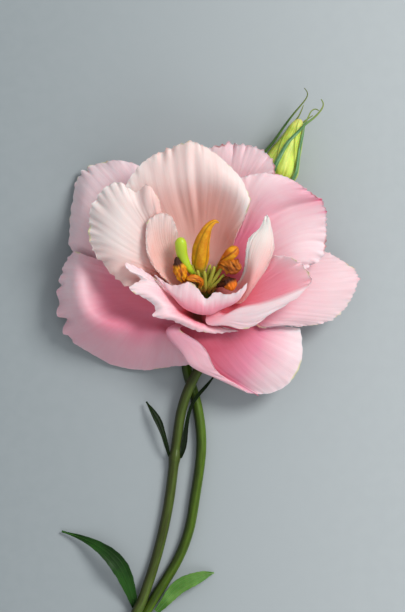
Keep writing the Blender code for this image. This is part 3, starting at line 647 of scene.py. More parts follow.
add_petal("outer_petal_back_left", OUTER, (132, 4.9), [
    [(-5, 15, 7), (-9.5, 27, 6.8), (-12.8, 33, 6.9), (-15, 36.8, 6.4)],
    [(-8, 15, 7), (-15, 28.5, 7.8), (-19, 34, 7.6), (-21.6, 37, 6)],
    [(-9.5, 14.2, 7.2), (-19.5, 26.5, 7.9), (-25, 32.6, 6.8), (-28, 35.6, 3)],
    [(-11, 12.5, 7.6), (-22.5, 22, 7.9), (-29, 28.8, 6.6), (-31.8, 31.8, 1.4)],
    [(-11.2, 10.2, 8), (-23.8, 16.8, 8.2), (-30.4, 21.4, 7.4), (-33.2, 23.5, 2.4)],
    [(-11, 8, 8.2), (-23, 11.6, 7.8), (-31, 15.2, 7.2), (-33.8, 16.6, 3.4)],
    [(-10.4, 6.4, 8.2), (-21, 8, 7.4), (-29.4, 10.6, 6.4), (-32, 11.4, 4.2)]
], [80, 40, (10, 8, 20), (4, 2, 14)],
    ruffle=(0.35, 10, 4), frill=(0.2, 3, 1.6), teeth=(0.14, 1.7), seed=3,
    dents=[(-0.22, 0.03, 1.4, 2.2), (-0.1, 0.03, 0.8, 1.6)])
add_petal("outer_petal_lower_left", SHADED, (200, 4.7), [
    [(-11, 6.5, 11), (-18, 9, 9.4), (-24.6, 11.2, 9.4), (-28.8, 12.5, 10.2), (-31.2, 13.5, 9.2),
     (-33.2, 14.4, 7)],
    [(-10.8, 5.2, 11), (-18, 6.8, 8.6), (-25.8, 8.5, 9.6), (-30.2, 9.4, 11.8), (-32.9, 10, 10),
     (-35, 9.9, 7.2)],
    [(-10.5, 3.4, 11), (-18, 3.8, 8.2), (-25.6, 3.8, 9.4), (-29.9, 3.8, 12.6), (-33.3, 4, 10.6),
     (-36.6, 3.4, 7)],
    [(-9.8, 1, 11), (-16.5, 0.9, 8), (-23.8, -0.2, 9.2), (-28.2, -1.4, 12.8), (-32.2, -2.4, 10.2),
     (-36, -3.4, 6)],
    [(-8.8, -0.8, 11), (-14, -1, 8.4), (-19.4, -2.3, 9.2), (-23.4, -4.5, 12), (-27.6, -7.4, 8.8),
     (-31.8, -9.4, 3.2)],
    [(-7, -2.4, 10.4), (-10.4, -2.8, 8.8), (-13.6, -4, 9.4), (-16, -6.4, 11.4), (-18.7, -11, 7.2),
     (-21.6, -15.2, 1.2)],
    [(-5, -3.6, 9.6), (-6.6, -4.6, 8.6), (-7.9, -5.8, 9), (-8.8, -7.2, 10.2), (-9.8, -11.6, 7),
     (-10.8, -16.4, 2)],
    [(-4, -3.8, 9), (-4, -6, 8.4), (-3.9, -8, 8.3), (-3.5, -10.2, 7.8), (-2.7, -13.2, 6.2), (-2, -15.8, 4.2)]
# The valley's deep percents are partly the petal's rose and partly painted shade, where the inner petals shade
# it.
], [100, (80, 80, 80, 75, 70, 70, 70, 70), (50, 60, 64, 66, 62, 58, 54, 50), (34, 44, 56, 60, 56, 50, 46, 42),
    (20, 18, 20, 32, 52, 52, 44, 34), (10, 4, 4, 12, 26, 29, 27, 20), (12, 12, 12, 16, 20, 21, 21, 18)],
    ruffle=(0.25, 9, 4), frill=(0.35, 3, 1.5), teeth=(0.1, 1.8), seed=8, frill_side=(-0.75, 0.1),
    dents=[(-0.5, 0.03, 0.6, 1.2), (-0.33, 0.05, 1.1, 2.2), (-0.1, 0.05, 1.9, 2.8), (-0.01, 0.035, -1, 2)],
    points=[(-0.44, 0.02, 0.5, 0.2), (-0.85, 0.02, 0.4, 0)])
add_petal("outer_petal_front", OUTER, (296, 4.9), [
    [(-1.8, -3.7, 11.7), (-5, -4.9, 14.2), (-1, -9, 14.2), (2.3, -14, 12.6), (4.6, -17.2, 10.8),
     (12.2, -21.5, 8.8)],
    [(-2.8, -3.9, 11.1), (-7.4, -4.9, 13.2), (-5.8, -10.6, 13.4), (-2.8, -14.9, 11.9), (3.4, -17.9, 10.2),
     (12, -22, 8.4)],
    [(-1.8, -4.2, 10.4), (-5.6, -5.8, 11.3), (-3.2, -11, 10.9), (0.8, -15, 9.9), (6, -18, 9), (12.9, -22, 8.1)],
    [(0.6, -4.3, 10.7), (1, -7, 10.8), (4, -11.5, 10.6), (7.5, -15.5, 10.4), (11, -18.6, 9.6),
     (15.8, -22, 7.6)],
    [(2.8, -4, 10.9), (6, -6.3, 10.7), (10, -10, 11), (13.5, -13.6, 11), (17.2, -16.6, 10.2), (21, -20, 7.4)],
    [(4.4, -3.4, 11), (9, -5, 10.4), (13.6, -7.8, 10.6), (17.6, -10.2, 10.8), (21.4, -12.4, 9.8),
     (25, -14.2, 7.4)],
    [(5.6, -2.9, 10.7), (10.6, -3.9, 9.7), (15, -4.5, 9.3), (18.8, -4.9, 9.1), (22.4, -5.3, 8.5),
     (26, -5.8, 7.6)]
], [(70, 70, 80, 80, 80, 80, 80), (50, 50, 80, 85, 85, 80, 80), (36, 36, 84, 86, 74, 60, 65),
    (24, 26, 85, 66, 42, 30, 36), (20, 24, 66, 32, 12, 6, 10), (20, 20, 36, 4, 0, 0, 0)],
    ruffle=(0.12, 12, 5), frill=(0.1, 3.2, 1.4), teeth=(0.08, 2.2), seed=5, points=[(-0.27, 0.02, 1.3, 0.8)])
add_petal("outer_petal_right", LIT, (0, 4.3), [
    [(10.5, -1.8, 10.6), (14.3, -5.3, 11.4), (20, -4.9, 11.2), (26.4, -5.6, 9.2)],
    [(11.2, -0.4, 10), (17, -2.9, 11.6), (24, -3.2, 11.2), (31.2, -4.1, 8.2)],
    [(12, 1.2, 9.2), (19, 0.8, 10.8), (27, 0, 10.6), (36, -0.4, 7.4)],
    [(12.4, 3.2, 8.6), (20.5, 4.6, 9.8), (29.5, 5.2, 9.6), (39, 6.4, 6.8)],
    [(12.2, 5.4, 8.5), (20, 8, 9.3), (28.5, 9.6, 9), (37.4, 10.2, 7.2)],
    [(12, 7.5, 8.6), (18.5, 11, 9), (25.5, 13.4, 8.8), (32.4, 14.4, 7.8)]
], [100, (60, 50, 40), (16, 12, 10), (5, 4, 5)],
    ruffle=(0.2, 10, 5), frill=(0.18, 2.8, 1.4), teeth=(0.3, 1.5), seed=12,
    points=[(0.23, 0.03, 0.9, 0.15), (0.5, 0.03, 0.6, 0.1), (-0.5, 0.03, 0.5, 0)])
add_petal("outer_petal_upper_right", BROWNED, (45, 4.2), [
    [(11.5, 6, 11.6), (17, 7.4, 13.4), (23.5, 9.2, 13.8), (29.2, 8.6, 12)],
    [(12.3, 9, 11), (18.5, 11.4, 13), (25, 13.4, 13.8), (31, 13, 12.6)],
    [(12, 11.8, 10.8), (18.5, 15.8, 12.6), (25, 19, 13.2), (31, 19.8, 13)],
    [(11.2, 14.4, 10.2), (17, 20.4, 11.6), (23.4, 23.6, 12.4), (30.3, 25.2, 13.4)],
    [(9.6, 15.6, 9.8), (14.4, 24, 12.8), (20, 28, 14.2), (26.2, 29, 14)],
    [(8, 16, 9.4), (11.5, 25, 12.8), (15, 31, 14.8), (19, 33.1, 14.6)],
    [(6.5, 15.5, 9), (7.6, 24, 12), (8, 30, 14), (9.4, 33.3, 15)]
], [100, (90, 90, 90, 90, 80, 80), (62, 56, 50, 60, 50, 50), (32, 20, 16, 28, 16, 16), (8, 5, 8, 20, 5, 4),
    (3, 2, 10, 40, 10, 0)],
    ruffle=(0.25, 8, 4), frill=(0.35, 2.2, 1.5), teeth=(0.25, 1.3), seed=21, folds=[(0.08, 0.07, -1.2, 0.4)],
    dents=[(0.3, 0.03, 0.8, 1.4), (-0.9, 0.05, 1, 2)], points=[(0.1, 0.02, 0.6, 0.6), (-0.12, 0.02, 0.4, 0.5)])
add_petal("outer_petal_back", BROWNED, (80, 4.8), [
    [(8, 17, 7.2), (14.2, 27, 10), (20.2, 33, 13)],
    [(6.6, 18, 7), (11.6, 30, 10.4), (17.4, 37.4, 13.4)],
    [(5, 18.3, 7), (9, 31, 10.6), (12.2, 40, 13.8)],
    [(3.4, 18.3, 7.2), (5.6, 31, 10.4), (7, 40.4, 13.4)],
    [(1, 18, 7.6), (2.2, 30.5, 10.5), (2.4, 40.2, 13.6)],
    [(-2, 18, 8.2), (-3, 30, 11), (-2.4, 39.5, 13)]
], [80, 40, (12, 8), (8, 4)],
    ruffle=(0.35, 6, 4), frill=(0.2, 2.4, 1.4), teeth=(0.3, 1.8), seed=27,
    dents=[(-0.55, 0.05, 1.4, 3), (-0.1, 0.04, 1, 2), (0.12, 0.03, 1.6, 2)], points=[(0.25, 0.04, 0.9, 0.15)])
add_petal("inner_petal_back", BACK, (95, 3.6), [
    [(5.5, 11.5, 10.8), (8.2, 17, 14.6), (10.2, 21.4, 17.6), (11.6, 25, 19.2), (12.2, 28.4, 19)],
    [(3.4, 12, 9.8), (6, 19.5, 13.4), (8, 25, 18), (8.8, 28.8, 20.4), (8.4, 33.4, 19.6)],
    [(1.5, 12, 9.3), (2.4, 21, 13), (3.4, 27.6, 18.2), (3.8, 31.8, 21.2), (3, 38, 20.4)],
    [(-0.5, 12, 9.3), (-1.2, 21.5, 12.8), (-1.8, 28.4, 18.2), (-2.2, 33, 21), (-2.4, 40.6, 22.2)],
    [(-2.6, 12.4, 9.5), (-5, 21.5, 13), (-6.8, 28, 18.2), (-7.6, 32.2, 20.6), (-8.6, 39, 21.4)],
    [(-5, 12.8, 10.2), (-9.5, 20.6, 13.8), (-12.6, 26.4, 17.8), (-14, 30.6, 19.6), (-15, 36.2, 19.6)],
    [(-7, 13, 11.2), (-12.8, 18.8, 14.6), (-16.8, 24, 17.4), (-19, 27.6, 18.8), (-20.4, 30.9, 18.4)]
], [70, (60, 60, 55, 55), (50, 50, 40, 40), (50, 50, 34, 34), (50, 56, 40, 30), (42, 56, 42, 24),
    # The middle percents of the last rows are painted shade, dimming the centre of the lip.
    (34, 54, 42, 20), (18, 44, 36, 18), (3, 18, 24, 14), (2, 16, 18, 10), (2, 20, 14, 6)],
    ruffle=(0.2, 8, 4), frill=(0.2, 2.7, 1.3), teeth=(0.2, 1.8), seed=33, frill_side=(-0.1, 1.3),
    folds=[(-0.02, 0.05, -0.4, 0.35), (0.08, 0.06, 0.3, 0.3), (0.3, 0.05, -0.3, 0.3)],
    dents=[(0.42, 0.05, 1.1, 2.4), (0.3, 0.03, 0.9, 1.6), (-0.12, 0.03, 0.6, 2)],
    points=[(0.46, 0.02, 0.5, 0.3), (0.35, 0.02, 0.4, 0.3), (0.03, 0.03, 0.4, 0)])
add_petal("inner_petal_left", BACK, (160, 3.6), [
    [(-5.5, 10.5, 13.3), (-7.6, 15.5, 16.8), (-9.4, 21, 19.6), (-10.6, 25.6, 21.6), (-11, 28.6, 22.4)],
    [(-6.3, 10.6, 13.2), (-9.2, 16.4, 17.4), (-11.8, 22.4, 20.8), (-13.2, 27.4, 23), (-13.4, 30.6, 22.6)],
    [(-7, 10.5, 13.2), (-11, 17, 17.6), (-14.4, 22.6, 20.6), (-16, 26, 21.6), (-16.8, 28.5, 21.2)],
    [(-7.5, 9.6, 12.9), (-12.4, 16.4, 17.6), (-17, 22.6, 21), (-19.8, 27, 22.4), (-21.4, 30.6, 21.4)],
    [(-8, 8.4, 12.6), (-13.2, 13.6, 17), (-19, 18.6, 20.6), (-23.6, 22.6, 21.2), (-26.8, 26, 19.4)],
    [(-8, 7.2, 12.4), (-13, 11, 16.4), (-19.4, 14.6, 19.6), (-24.4, 17.6, 20), (-28.3, 19.4, 18)],
    [(-7.5, 5.9, 12.2), (-12.2, 8.4, 15.6), (-18, 10.6, 18.4), (-23.2, 12, 18.6), (-27.4, 12.8, 16.8)],
    [(-6, 4.5, 12), (-10, 5.6, 14.5), (-14.6, 5.6, 16.2), (-19, 4.9, 16.6), (-22, 5.6, 15.6)]
# The raised percents of the first and last columns are painted shade: in the fold of the upper lobe and on the
# lower flap under the front-left petal's curl.
], [(80, 80, 80, 80, 100), (50, 50, 50, 60, 100), (50, 30, 30, 40, 90), (40, 16, 8, 12, 50),
    (36, 12, 4, 6, 36)],
    ruffle=(0.35, 7, 4), frill=(0.5, 2.1, 2.1), teeth=(0.2, 1.5), seed=41, frill_side=(-0.3, 0.95))
add_petal("inner_petal_hood", BACK, (130, 2.8), [
    [(-3.8, 8.4, 12.7), (-5.6, 12.6, 15.8), (-6.2, 16.4, 18.2), (-6, 20, 20)],
    [(-4.4, 8.2, 12.8), (-7.2, 13.2, 16.2), (-8, 18, 19), (-7.6, 22.2, 21.2)],
    [(-4.9, 7.8, 13), (-8.8, 13, 16.4), (-10.2, 18.4, 19.6), (-10.2, 23, 21.8)],
    [(-5.3, 7.1, 13.2), (-10.2, 11.8, 16.9), (-12, 17.4, 20), (-12.6, 21.9, 21.7)],
    [(-5.3, 6, 13.5), (-10.8, 9.8, 17.8), (-13, 15, 20.2), (-13.9, 20.6, 21.2)],
    [(-4.9, 4.2, 13.8), (-9.9, 7.2, 18.3), (-13.4, 12.2, 20), (-14.3, 17.6, 20.8)]
], [60, (52, 54), (46, 54), (34, 50), (12, 18)],
    ruffle=(0.15, 5, 2.5), frill=(0.22, 1.9, 1), teeth=(0.16, 1.4), seed=52)
add_petal("inner_petal_front_left", CUP, (235, 3.95), [
    [(-7, 3.6, 13.5), (-11.4, 6.4, 17.2), (-16.2, 9.6, 19.4), (-23.4, 12.6, 20.2)],
    [(-6.9, 3.2, 13.5), (-11, 5.6, 17.4), (-14.8, 7.5, 19.7), (-19, 8.8, 21)],
    [(-6.7, 2.6, 13.6), (-10.6, 4.6, 17.6), (-13.4, 6, 19.2), (-15.4, 6.6, 19)],
    [(-6.4, 1.8, 13.8), (-10.4, 3.6, 17.8), (-14.4, 4.6, 20), (-18.2, 4.6, 20.8)],
    [(-5.8, 0.8, 13.9), (-9.4, 1.8, 17.8), (-12.4, 2.4, 19.8), (-15.2, 2.4, 19.8)],
    [(-5, -0.4, 14), (-7.8, 0, 17.6), (-9.8, 0, 19.4), (-11.6, -0.5, 18.8)],
    [(-4.2, -1.2, 14), (-6.8, -1.4, 17.2), (-9.2, -1.9, 19.2), (-12.2, -2.5, 19.2)],
    [(-2.8, -2, 13.8), (-4.4, -2.8, 16.8), (-5.6, -3.2, 18.4), (-7.2, -3.7, 18)],
    [(-1.4, -2.9, 13.2), (-1.5, -4.1, 15.8), (-1.9, -5, 16.8), (-2.4, -5.9, 16.2)],
    [(0, -3.3, 12.6), (2.2, -5.1, 13.7), (3, -6.2, 14.1), (3.8, -6.9, 13.5)],
    [(1.6, -3.4, 12.2), (5, -5.2, 13.1), (7.8, -6, 13.5), (10.8, -6.3, 13.2)]
# The percents above 100 near the claw in the last columns are painted shade: a dark gap below the front petal.
], [(100, 100, 100, 100, 150, 150, 140), (85, 85, 85, 90, 150, 160, 140), (60, 50, 50, 55, 130, 160, 80),
    (30, 20, 30, 30, 40, 70, 30), (20, 10, 14, 14, 22, 30, 24), (12, 2, 3, 7, 20, 20, 20)],
    ruffle=(0.1, 5.5, 3), frill=(0.2, 2.1, 1.5), teeth=(0.12, 1.8), seed=63,
    dents=[(-0.75, 0.03, 0.9, 1.4), (-0.35, 0.03, 0.6, 1)])
add_petal("inner_petal_front", CUP, (268, 2.7), [
    [(-5.6, 2.5, 15.2), (-10.2, 5.7, 18.2), (-12.3, 8.6, 18.6)],
    [(-4.8, 1.2, 15.2), (-8.6, 3.9, 17.9), (-10.3, 6.8, 19)],
    [(-4, -0.2, 15.2), (-6.6, 1.8, 17.8), (-7, 5.2, 19)],
    [(-2.6, -0.9, 15), (-4.2, 0, 17.8), (-3.8, 6, 19.2)],
    [(-0.8, -1.6, 15.2), (-1.4, -1, 17.6), (-1.2, 4.4, 18.8)],
    [(0.8, -1.8, 15.2), (0.8, -1.4, 17.2), (1, 1.8, 18)],
    [(2.2, -1.6, 15.2), (2.9, -1, 17.2), (3, 3.4, 18.4)],
    [(3.5, -0.7, 15.3), (5.4, -0.1, 17.4), (6, 3, 18.6)],
    [(4.8, 0.1, 15.2), (8.2, 1, 18), (9.2, 4.4, 18.9)],
    [(5.6, 1.1, 15.2), (9.9, 3, 18.2), (11, 7, 19.4)]
], [80, 75, 65, 60, (55, 60, 60, 60, 55), (48, 56, 58, 56, 50), (40, 50, 54, 54, 44), (36, 44, 52, 50, 36),
    (30, 16, 46, 24, 22), (22, 18, 12, 8, 12), (12, 14, 10, 5, 6)],
    ruffle=(0.16, 5, 2), frill=(0.13, 2.4, 1.2), teeth=(0.14, 1.6), seed=71,
    dents=[(-0.4, 0.05, 0.5, 1), (0.75, 0.04, 0.5, 1)])
add_petal("inner_petal_front_right", CUP, (316, 3.9), [
    [(0.8, -3.5, 14.8), (5, -4.8, 15.9), (10.6, -5.7, 16.5), (17, -1.9, 17.9), (22.8, 1.5, 18.3)],
    [(2, -3, 15), (6.4, -3.5, 16.4), (11.6, -3.2, 17.2), (18, -0.6, 18.5), (24.6, 2.8, 19.2)],
    [(4, -1.9, 14.9), (7.6, -1.4, 16.4), (12.6, -0.3, 17.5), (18.4, 1.2, 18.8), (26, 4.7, 19.6)],
    [(4.8, -1.6, 14), (8.7, -0.7, 15.3), (13.5, 0.7, 15.9), (19, 2.5, 17.2), (26.6, 5.3, 19.2)],
    [(5.2, -1.2, 13.4), (9.2, 0.2, 14.2), (13.8, 2.1, 15), (19.2, 4.2, 17), (27.1, 6.8, 19.6)],
    [(6, -0.2, 12.7), (10.2, 2, 13.6), (14.8, 4.8, 14.8), (19.4, 7.6, 17), (25.2, 9.8, 20)],
    [(6.3, 1, 12.2), (10.6, 3.8, 13.2), (14.6, 7, 14.8), (18.2, 10, 17), (22.4, 12.2, 19.8)],
    [(6.5, 2.2, 11.8), (10.2, 5, 13), (13.6, 8.6, 15), (16.2, 11.6, 17), (18.8, 13, 19)]
], [(70, 70, 70, 100, 100, 100, 100, 100), (36, 34, 32, 90, 100, 100, 100, 100),
    (18, 12, 10, 80, 86, 84, 76, 70), (12, 8, 6, 60, 66, 58, 54, 50), (6, 4, 4, 44, 50, 40, 34, 30),
    (4, 4, 5, 20, 22, 14, 8, 5)],
    ruffle=(0.2, 6, 3), frill=(0.22, 2.6, 1.6), teeth=(0.14, 1.7), seed=84, frill_side=(-0.2, 1.2),
    dents=[(0.5, 0.04, 0.9, 1.6), (0.1, 0.04, 0.7, 1.6)])
add_petal("inner_petal_right", WHITE, (20, 2.9), [
    [(8.6, 0.6, 15), (12, 3.6, 17), (16, 9.6, 18.2), (17.7, 15.6, 19.8), (17, 19.8, 21), (16.9, 22.8, 21.8)],
    [(8.6, 1.8, 15), (12, 5.4, 18), (14.8, 10.6, 19.3), (16.6, 15.8, 20.6), (16.5, 19.9, 21.5),
     (16.3, 22.2, 22)],
    [(8.4, 3, 14.6), (11.6, 6.6, 17.8), (13.2, 11.4, 19.8), (15, 16, 21.1), (15.8, 19.8, 21.8),
     (15.9, 22.4, 22)],
    [(8, 4, 14), (11, 7.8, 17), (11.8, 12.4, 19.5), (13.2, 16.6, 21), (15, 19.7, 21.8), (15.5, 22.4, 22)],
    [(7.5, 5, 13.6), (10.2, 8.6, 16.8), (10.8, 13.4, 19.6), (12.1, 17.5, 21.1), (14.3, 19.6, 21.7),
     (15.1, 22.8, 21.8)]
], [100, (95, 90, 90), (80, 66, 50), (50, 30, 16), (26, 10, 4), (10, 2, 2)],
    ruffle=(0.15, 5, 2), frill=(0.25, 1.9, 0.9), teeth=(0.3, 1.6), seed=95,
    dents=[(0.1, 0.25, 1.2, 1.1), (0.7, 0.1, 0.5, 1.5)], points=[(-0.05, 0.1, 0.9, 0)])

# ---- stamens and pistil ----

ANTHERS = {name: anther_material(name + "_anther", *colours) for name, colours in {
    "golden": ((232, 172, 26), (214, 138, 16), (160, 118, 12)),
    "orange": ((240, 168, 24), (206, 108, 18), (140, 66, 12)),
    "rust": ((206, 122, 30), (160, 82, 20), (88, 40, 12)),
    "brown": ((92, 40, 14), (58, 22, 8), (40, 14, 6), (228, 120, 18)),
    "dusky": ((244, 176, 20), (214, 120, 14), (110, 44, 14), (64, 28, 12)),
}.items()}
FILAMENT_RADIUS = 0.3
STRAND_RADIUS = 0.48
LEAST_RADIUS = 0.06
ORGAN_RINGS = 96
ORGAN_SIDES = 40
STAMEN_RING = 1.9  # how far from the flower's axis the stamens start


def add_stamen(name, azimuth, colour, start, twist, crumple, places, strands=()):
    """A filament with its pollen sac, and any loose filaments beside it.

    start is the share of the length where the sac starts, twist and crumple shape the sac, and places are
    (x, y, z, radius).
    """
    base = (*flower_point(azimuth, STAMEN_RING, ROOT_HEIGHT), FILAMENT_RADIUS)
    path, radii, at = widening_path([base, *places], ORGAN_RINGS, LEAST_RADIUS)
    angles = circle(ORGAN_SIDES)
    ripe = ease(at, start - 0.12, start + 0.05)
    turn = angles + twist * pi * np.clip(at - start, 0, 1)
    lobe = np.abs(np.cos(2 * turn))
    rough = np.sin(5 * turn + 31 * at) * np.sin(23 * at + 3 * angles) + 0.5 * np.sin(9 * turn - 57 * at)
    swell = 1 + ripe * (0.18 * lobe**0.7 - 0.12 + crumple * rough)
    bodies = [(path, ring(radii[:, None] * rounded_end(at, 0.1) * swell, angles),
               {"along": at, "lobe": lobe, "ripe": ripe, "tip": ease(at, 0.84, 0.9)})]
    for strand in strands:
        strand = [base, *((*point, STRAND_RADIUS) for point in strand)]
        path, radii, at = widening_path(strand, 40, LEAST_RADIUS)
        bodies.append((path, ring(radii[:, None] * rounded_end(at, 0.12), circle(20)),
                       {"along": at, "lobe": 1, "ripe": 0, "tip": 0}))
    add_swept("pollen_sac_" + name, bodies, ANTHERS[colour], "stamen_" + name)


add_stamen("golden", 100, "golden", 0.44, 0.3, 0.02,
           [(-0.3, 7.6, 13, 0.8), (-0.7, 9.9, 15.4, 1.75), (-0.5, 12.4, 17.4, 2.1),
            (-0.3, 14.8, 18.8, 1.95), (0.5, 17.6, 20, 1.5), (1.8, 20, 20.8, 0.95),
            (3.2, 20.9, 20.8, 0.6), (4.2, 20.5, 20.3, 0.3)],
           [[(0.9, 5.6, 13.4), (1.4, 8, 15), (1.9, 10.4, 16.2)],
            [(-1.2, 5.6, 13.6), (-2, 8, 15.8), (-2.6, 10.4, 17.2)],
            [(-0.4, 4.6, 14.4), (-0.9, 7, 16.6), (-1.3, 9, 18.2)],
            [(0.6, 4.4, 14.2), (0.6, 6.6, 16.4), (0.5, 8.8, 18)]])
add_stamen("right_top", 35, "orange", 0.66, 0.5, 0.05,
           [(3, 8.2, 14.3, 0.42), (4.7, 11.2, 16.2, 0.5), (6.1, 12.2, 17.5, 1.25),
            (7.5, 13.4, 18.4, 1.6), (8.8, 14.6, 19, 1.15)],
           [[(1.7, 5, 14), (3.3, 7.2, 15.6), (4.9, 9.6, 16.8)],
            [(1.2, 5, 14.2), (2.2, 7.4, 16), (3, 10, 17.4)]])
add_stamen("right_middle", 8, "rust", 0.5, 2.6, 0.24,
           [(3.4, 6.8, 14.4, 0.42), (4.5, 9.7, 16.1, 0.75), (5.9, 10.2, 17, 1.6),
            (7.8, 9.8, 17.5, 1.8), (9.7, 9.3, 17.9, 1.1)],
           [[(2.1, 4.6, 14.4), (3.9, 6, 15.6), (5.4, 8, 16.6)]])
add_stamen("right_low", 335, "brown", 0.5, 1.4, 0.2,
           [(3.2, 4.8, 14, 0.42), (5, 5.6, 16.2, 0.9), (6.5, 5.8, 17.2, 1.5), (7.3, 3.7, 17.5, 1)])
add_stamen("left", 165, "dusky", 0.4, 0.9, 0.2,
           [(-3.3, 6.4, 14.6, 0.35), (-4.8, 7, 17.3, 1.1), (-5.6, 8.9, 18.6, 1.55),
            (-6.2, 10.9, 19.6, 0.85), (-6.5, 12.2, 20.1, 0.7)],
           [[(-1.6, 4.6, 14), (-2.6, 4.6, 16), (-3.2, 5.2, 17.4)]])
add_stamen("centre", 215, "orange", 0.55, 1.2, 0.14,
           [(-1.2, 4, 14.5, 0.35), (-0.3, 6, 17, 0.6), (-2, 6.9, 18.4, 0.9), (-4, 6.7, 19, 0.55)])

PISTIL = [(*flower_point(0, 0, ROOT_HEIGHT), 1.3), (0.3, 5.6, 13, 1.35), (-1, 6.8, 14.6, 0.8),
          (-2.9, 8.6, 16.6, 0.75), (-4.1, 10.6, 18.2, 1.05), (-5, 12.6, 19.2, 1.3),
          (-5.3, 14.4, 20.2, 1.4), (-5.5, 17, 21.4, 1.35)]


def add_pistil():
    material = organ_material("stigma_tissue", (84, 116, 26), (186, 214, 50), 0.38, 900.0, (0.25, 0.62))
    path, radii, at = widening_path(PISTIL, 90, LEAST_RADIUS)
    angles = circle(36)
    grooves = 1 + 0.05 * ease(at, 0.55, 0.7) * np.cos(2 * angles + 0.6)
    outline = ring(radii[:, None] * rounded_end(at, 0.09) * grooves, angles)
    add_swept("style_and_stigma", [(path, outline, {"along": at})], material, "pistil")


add_pistil()

# ---- stems and leaves ----

STEM_RADIUS = 1.26
STEM_RINGS = 260
STEM_SIDES = 40
STEM_LENGTH = 150
NODE_Y = -38.2
NODE_LENGTH = 1.3
STALK_CLEARANCE = 1.04  # lowest height of a stalk's middle, in radii, so that its ribs stay above the floor
NECK_HEIGHT = RECEPTACLE_PROFILE[0][0] - 0.3


def add_stalk(name, route, knot, dark, bright):
    """A ribbed stalk along a route. knot is how far it swells where the bracts grow."""
    path = smooth_path(route, STEM_RINGS)
    at = np.linspace(0, 1, STEM_RINGS)[:, None]
    angles = circle(STEM_SIDES)
    width = STEM_RADIUS + knot * bell(path[:, 1:2] - NODE_Y, NODE_LENGTH)
    path[:, 2] = np.maximum(path[:, 2], STALK_CLEARANCE * width[:, 0])
    length = at * STEM_LENGTH
    ribs = 1 + 0.022 * np.cos(8 * angles + 0.4) + 0.01 * ripple(length + 0 * angles, 9, 4)
    outline = ring(width * ribs, angles)
    side, rise = frames_along(path, UP)
    # Painted shade: place across the stalk, from its left side at -1 to its right side at 1, for the skin to
    # darken on the left.
    painted_shade_side = (outline[..., 0] * side[:, :1] + outline[..., 1] * rise[:, :1]) / width
    layers = {"along": length / 10, "around": angles / tau, "side": painted_shade_side,
              "cut": (at < 0.004) * (name == "main")}
    skin = stem_material(name + "_stem_skin", dark, bright)
    add_swept(name + "_stalk", [(path, outline, layers)], skin, name + "_stem")


add_stalk("main", [(-22.5, -97, 1.27), (-20, -89, 1.27), (-16.4, -80.5, 1.27), (-13.7, -76.3, 1.27),
                   (-10.7, -71.5, 1.27), (-6.4, -64.3, 1.27), (-3.2, -55.7, 1.27), (-1.9, -48.3, 1.27),
                   (-0.7, -40.3, 1.27), (-0.3, -34.7, 1.27), (-0.7, -29.1, 1.27), (-2.1, -22.4, 1.27),
                   (-4, -15.5, 1.27), (-3.5, -9.6, 1.3), (-1.1, -5.4, 1.65),
                   flower_point(0, 0, NECK_HEIGHT - 1.6), flower_point(0, 0, NECK_HEIGHT)],
          0, (30, 40, 5), (84, 116, 16))
# The first two points sink into the main stalk.
add_stalk("bud", [(-17.95, -84.6, 1.3), (-17.75, -81.4, 2.35), (-17, -77.9, 3.6), (-15.9, -75.8, 3.3),
                  (-14.6, -72.6, 2.6), (-12.3, -65.7, 1.5), (-10, -57.1, 1.27), (-8.3, -48.3, 1.27),
                  (-7, -38, 1.3), (-6.4, -33.6, 1.5), (-5.4, -26.9, 2.8), (-3, -19.8, 4.5), (0.6, -13.5, 4.6),
                  (4.6, -7, 4), (8.2, 0.5, 3.4), (11.2, 10, 2.8), (14.2, 20, 3.4), (16.7, 27.6, 4.95)],
          0.28, (42, 44, 12), (86, 108, 40))


def add_blade(name, material, rows, columns, places):
    """A leaf or bract along places (x, y, z, half width), with a keel, side veins and a wavy edge."""
    path, half, at = widening_path(places, rows, 0.08)
    half = half[:, None]
    w = np.linspace(-1, 1, columns)[None]
    side = unit(np.cross(np.gradient(path, axis=0), UP))
    length = at * 30 + 0 * w
    wave = 0.07 * half * ripple(length, 8, 6) * np.sign(w) * np.abs(w)**2
    edge = 1 + 0.03 * ripple(length, 2.6, 7) * (np.abs(w) > 0.9)
    lift = 0.25 * half * np.abs(w)**1.35 + wave - 0.05 * bell(w, 0.06)
    lift = lift - 0.04 * bell(np.abs(w) - LATERAL_VEIN, 0.05)
    grid = path[:, None] + side[:, None] * (half * w * edge)[..., None]
    grid = grid + UP * lift[..., None]
    thickness = 0.22 + 0.3 * bell(w, 0.16) + 0.08 * (1 - np.abs(w))
    add_shell(name + "_blade", grid, thickness, material, name, {"along": at, "across": w})


BRACT = leaf_material("bract_skin", (8, 24, 0), (18, 42, 2), (36, 64, 14))
LEAF = leaf_material("leaf_skin", (16, 52, 4), (32, 80, 14), (66, 112, 40))
add_blade("leaf_left", LEAF, 110, 41,
          [(-16.6, -77.4, 1.1, 0.6), (-18.3, -71.8, 2.2, 1.45), (-21.4, -65, 3.8, 2.1),
           (-25.9, -60.9, 3.2, 1.4), (-30.8, -58.5, 1.7, 0.65), (-35.6, -57, 0.8, 0.1)])
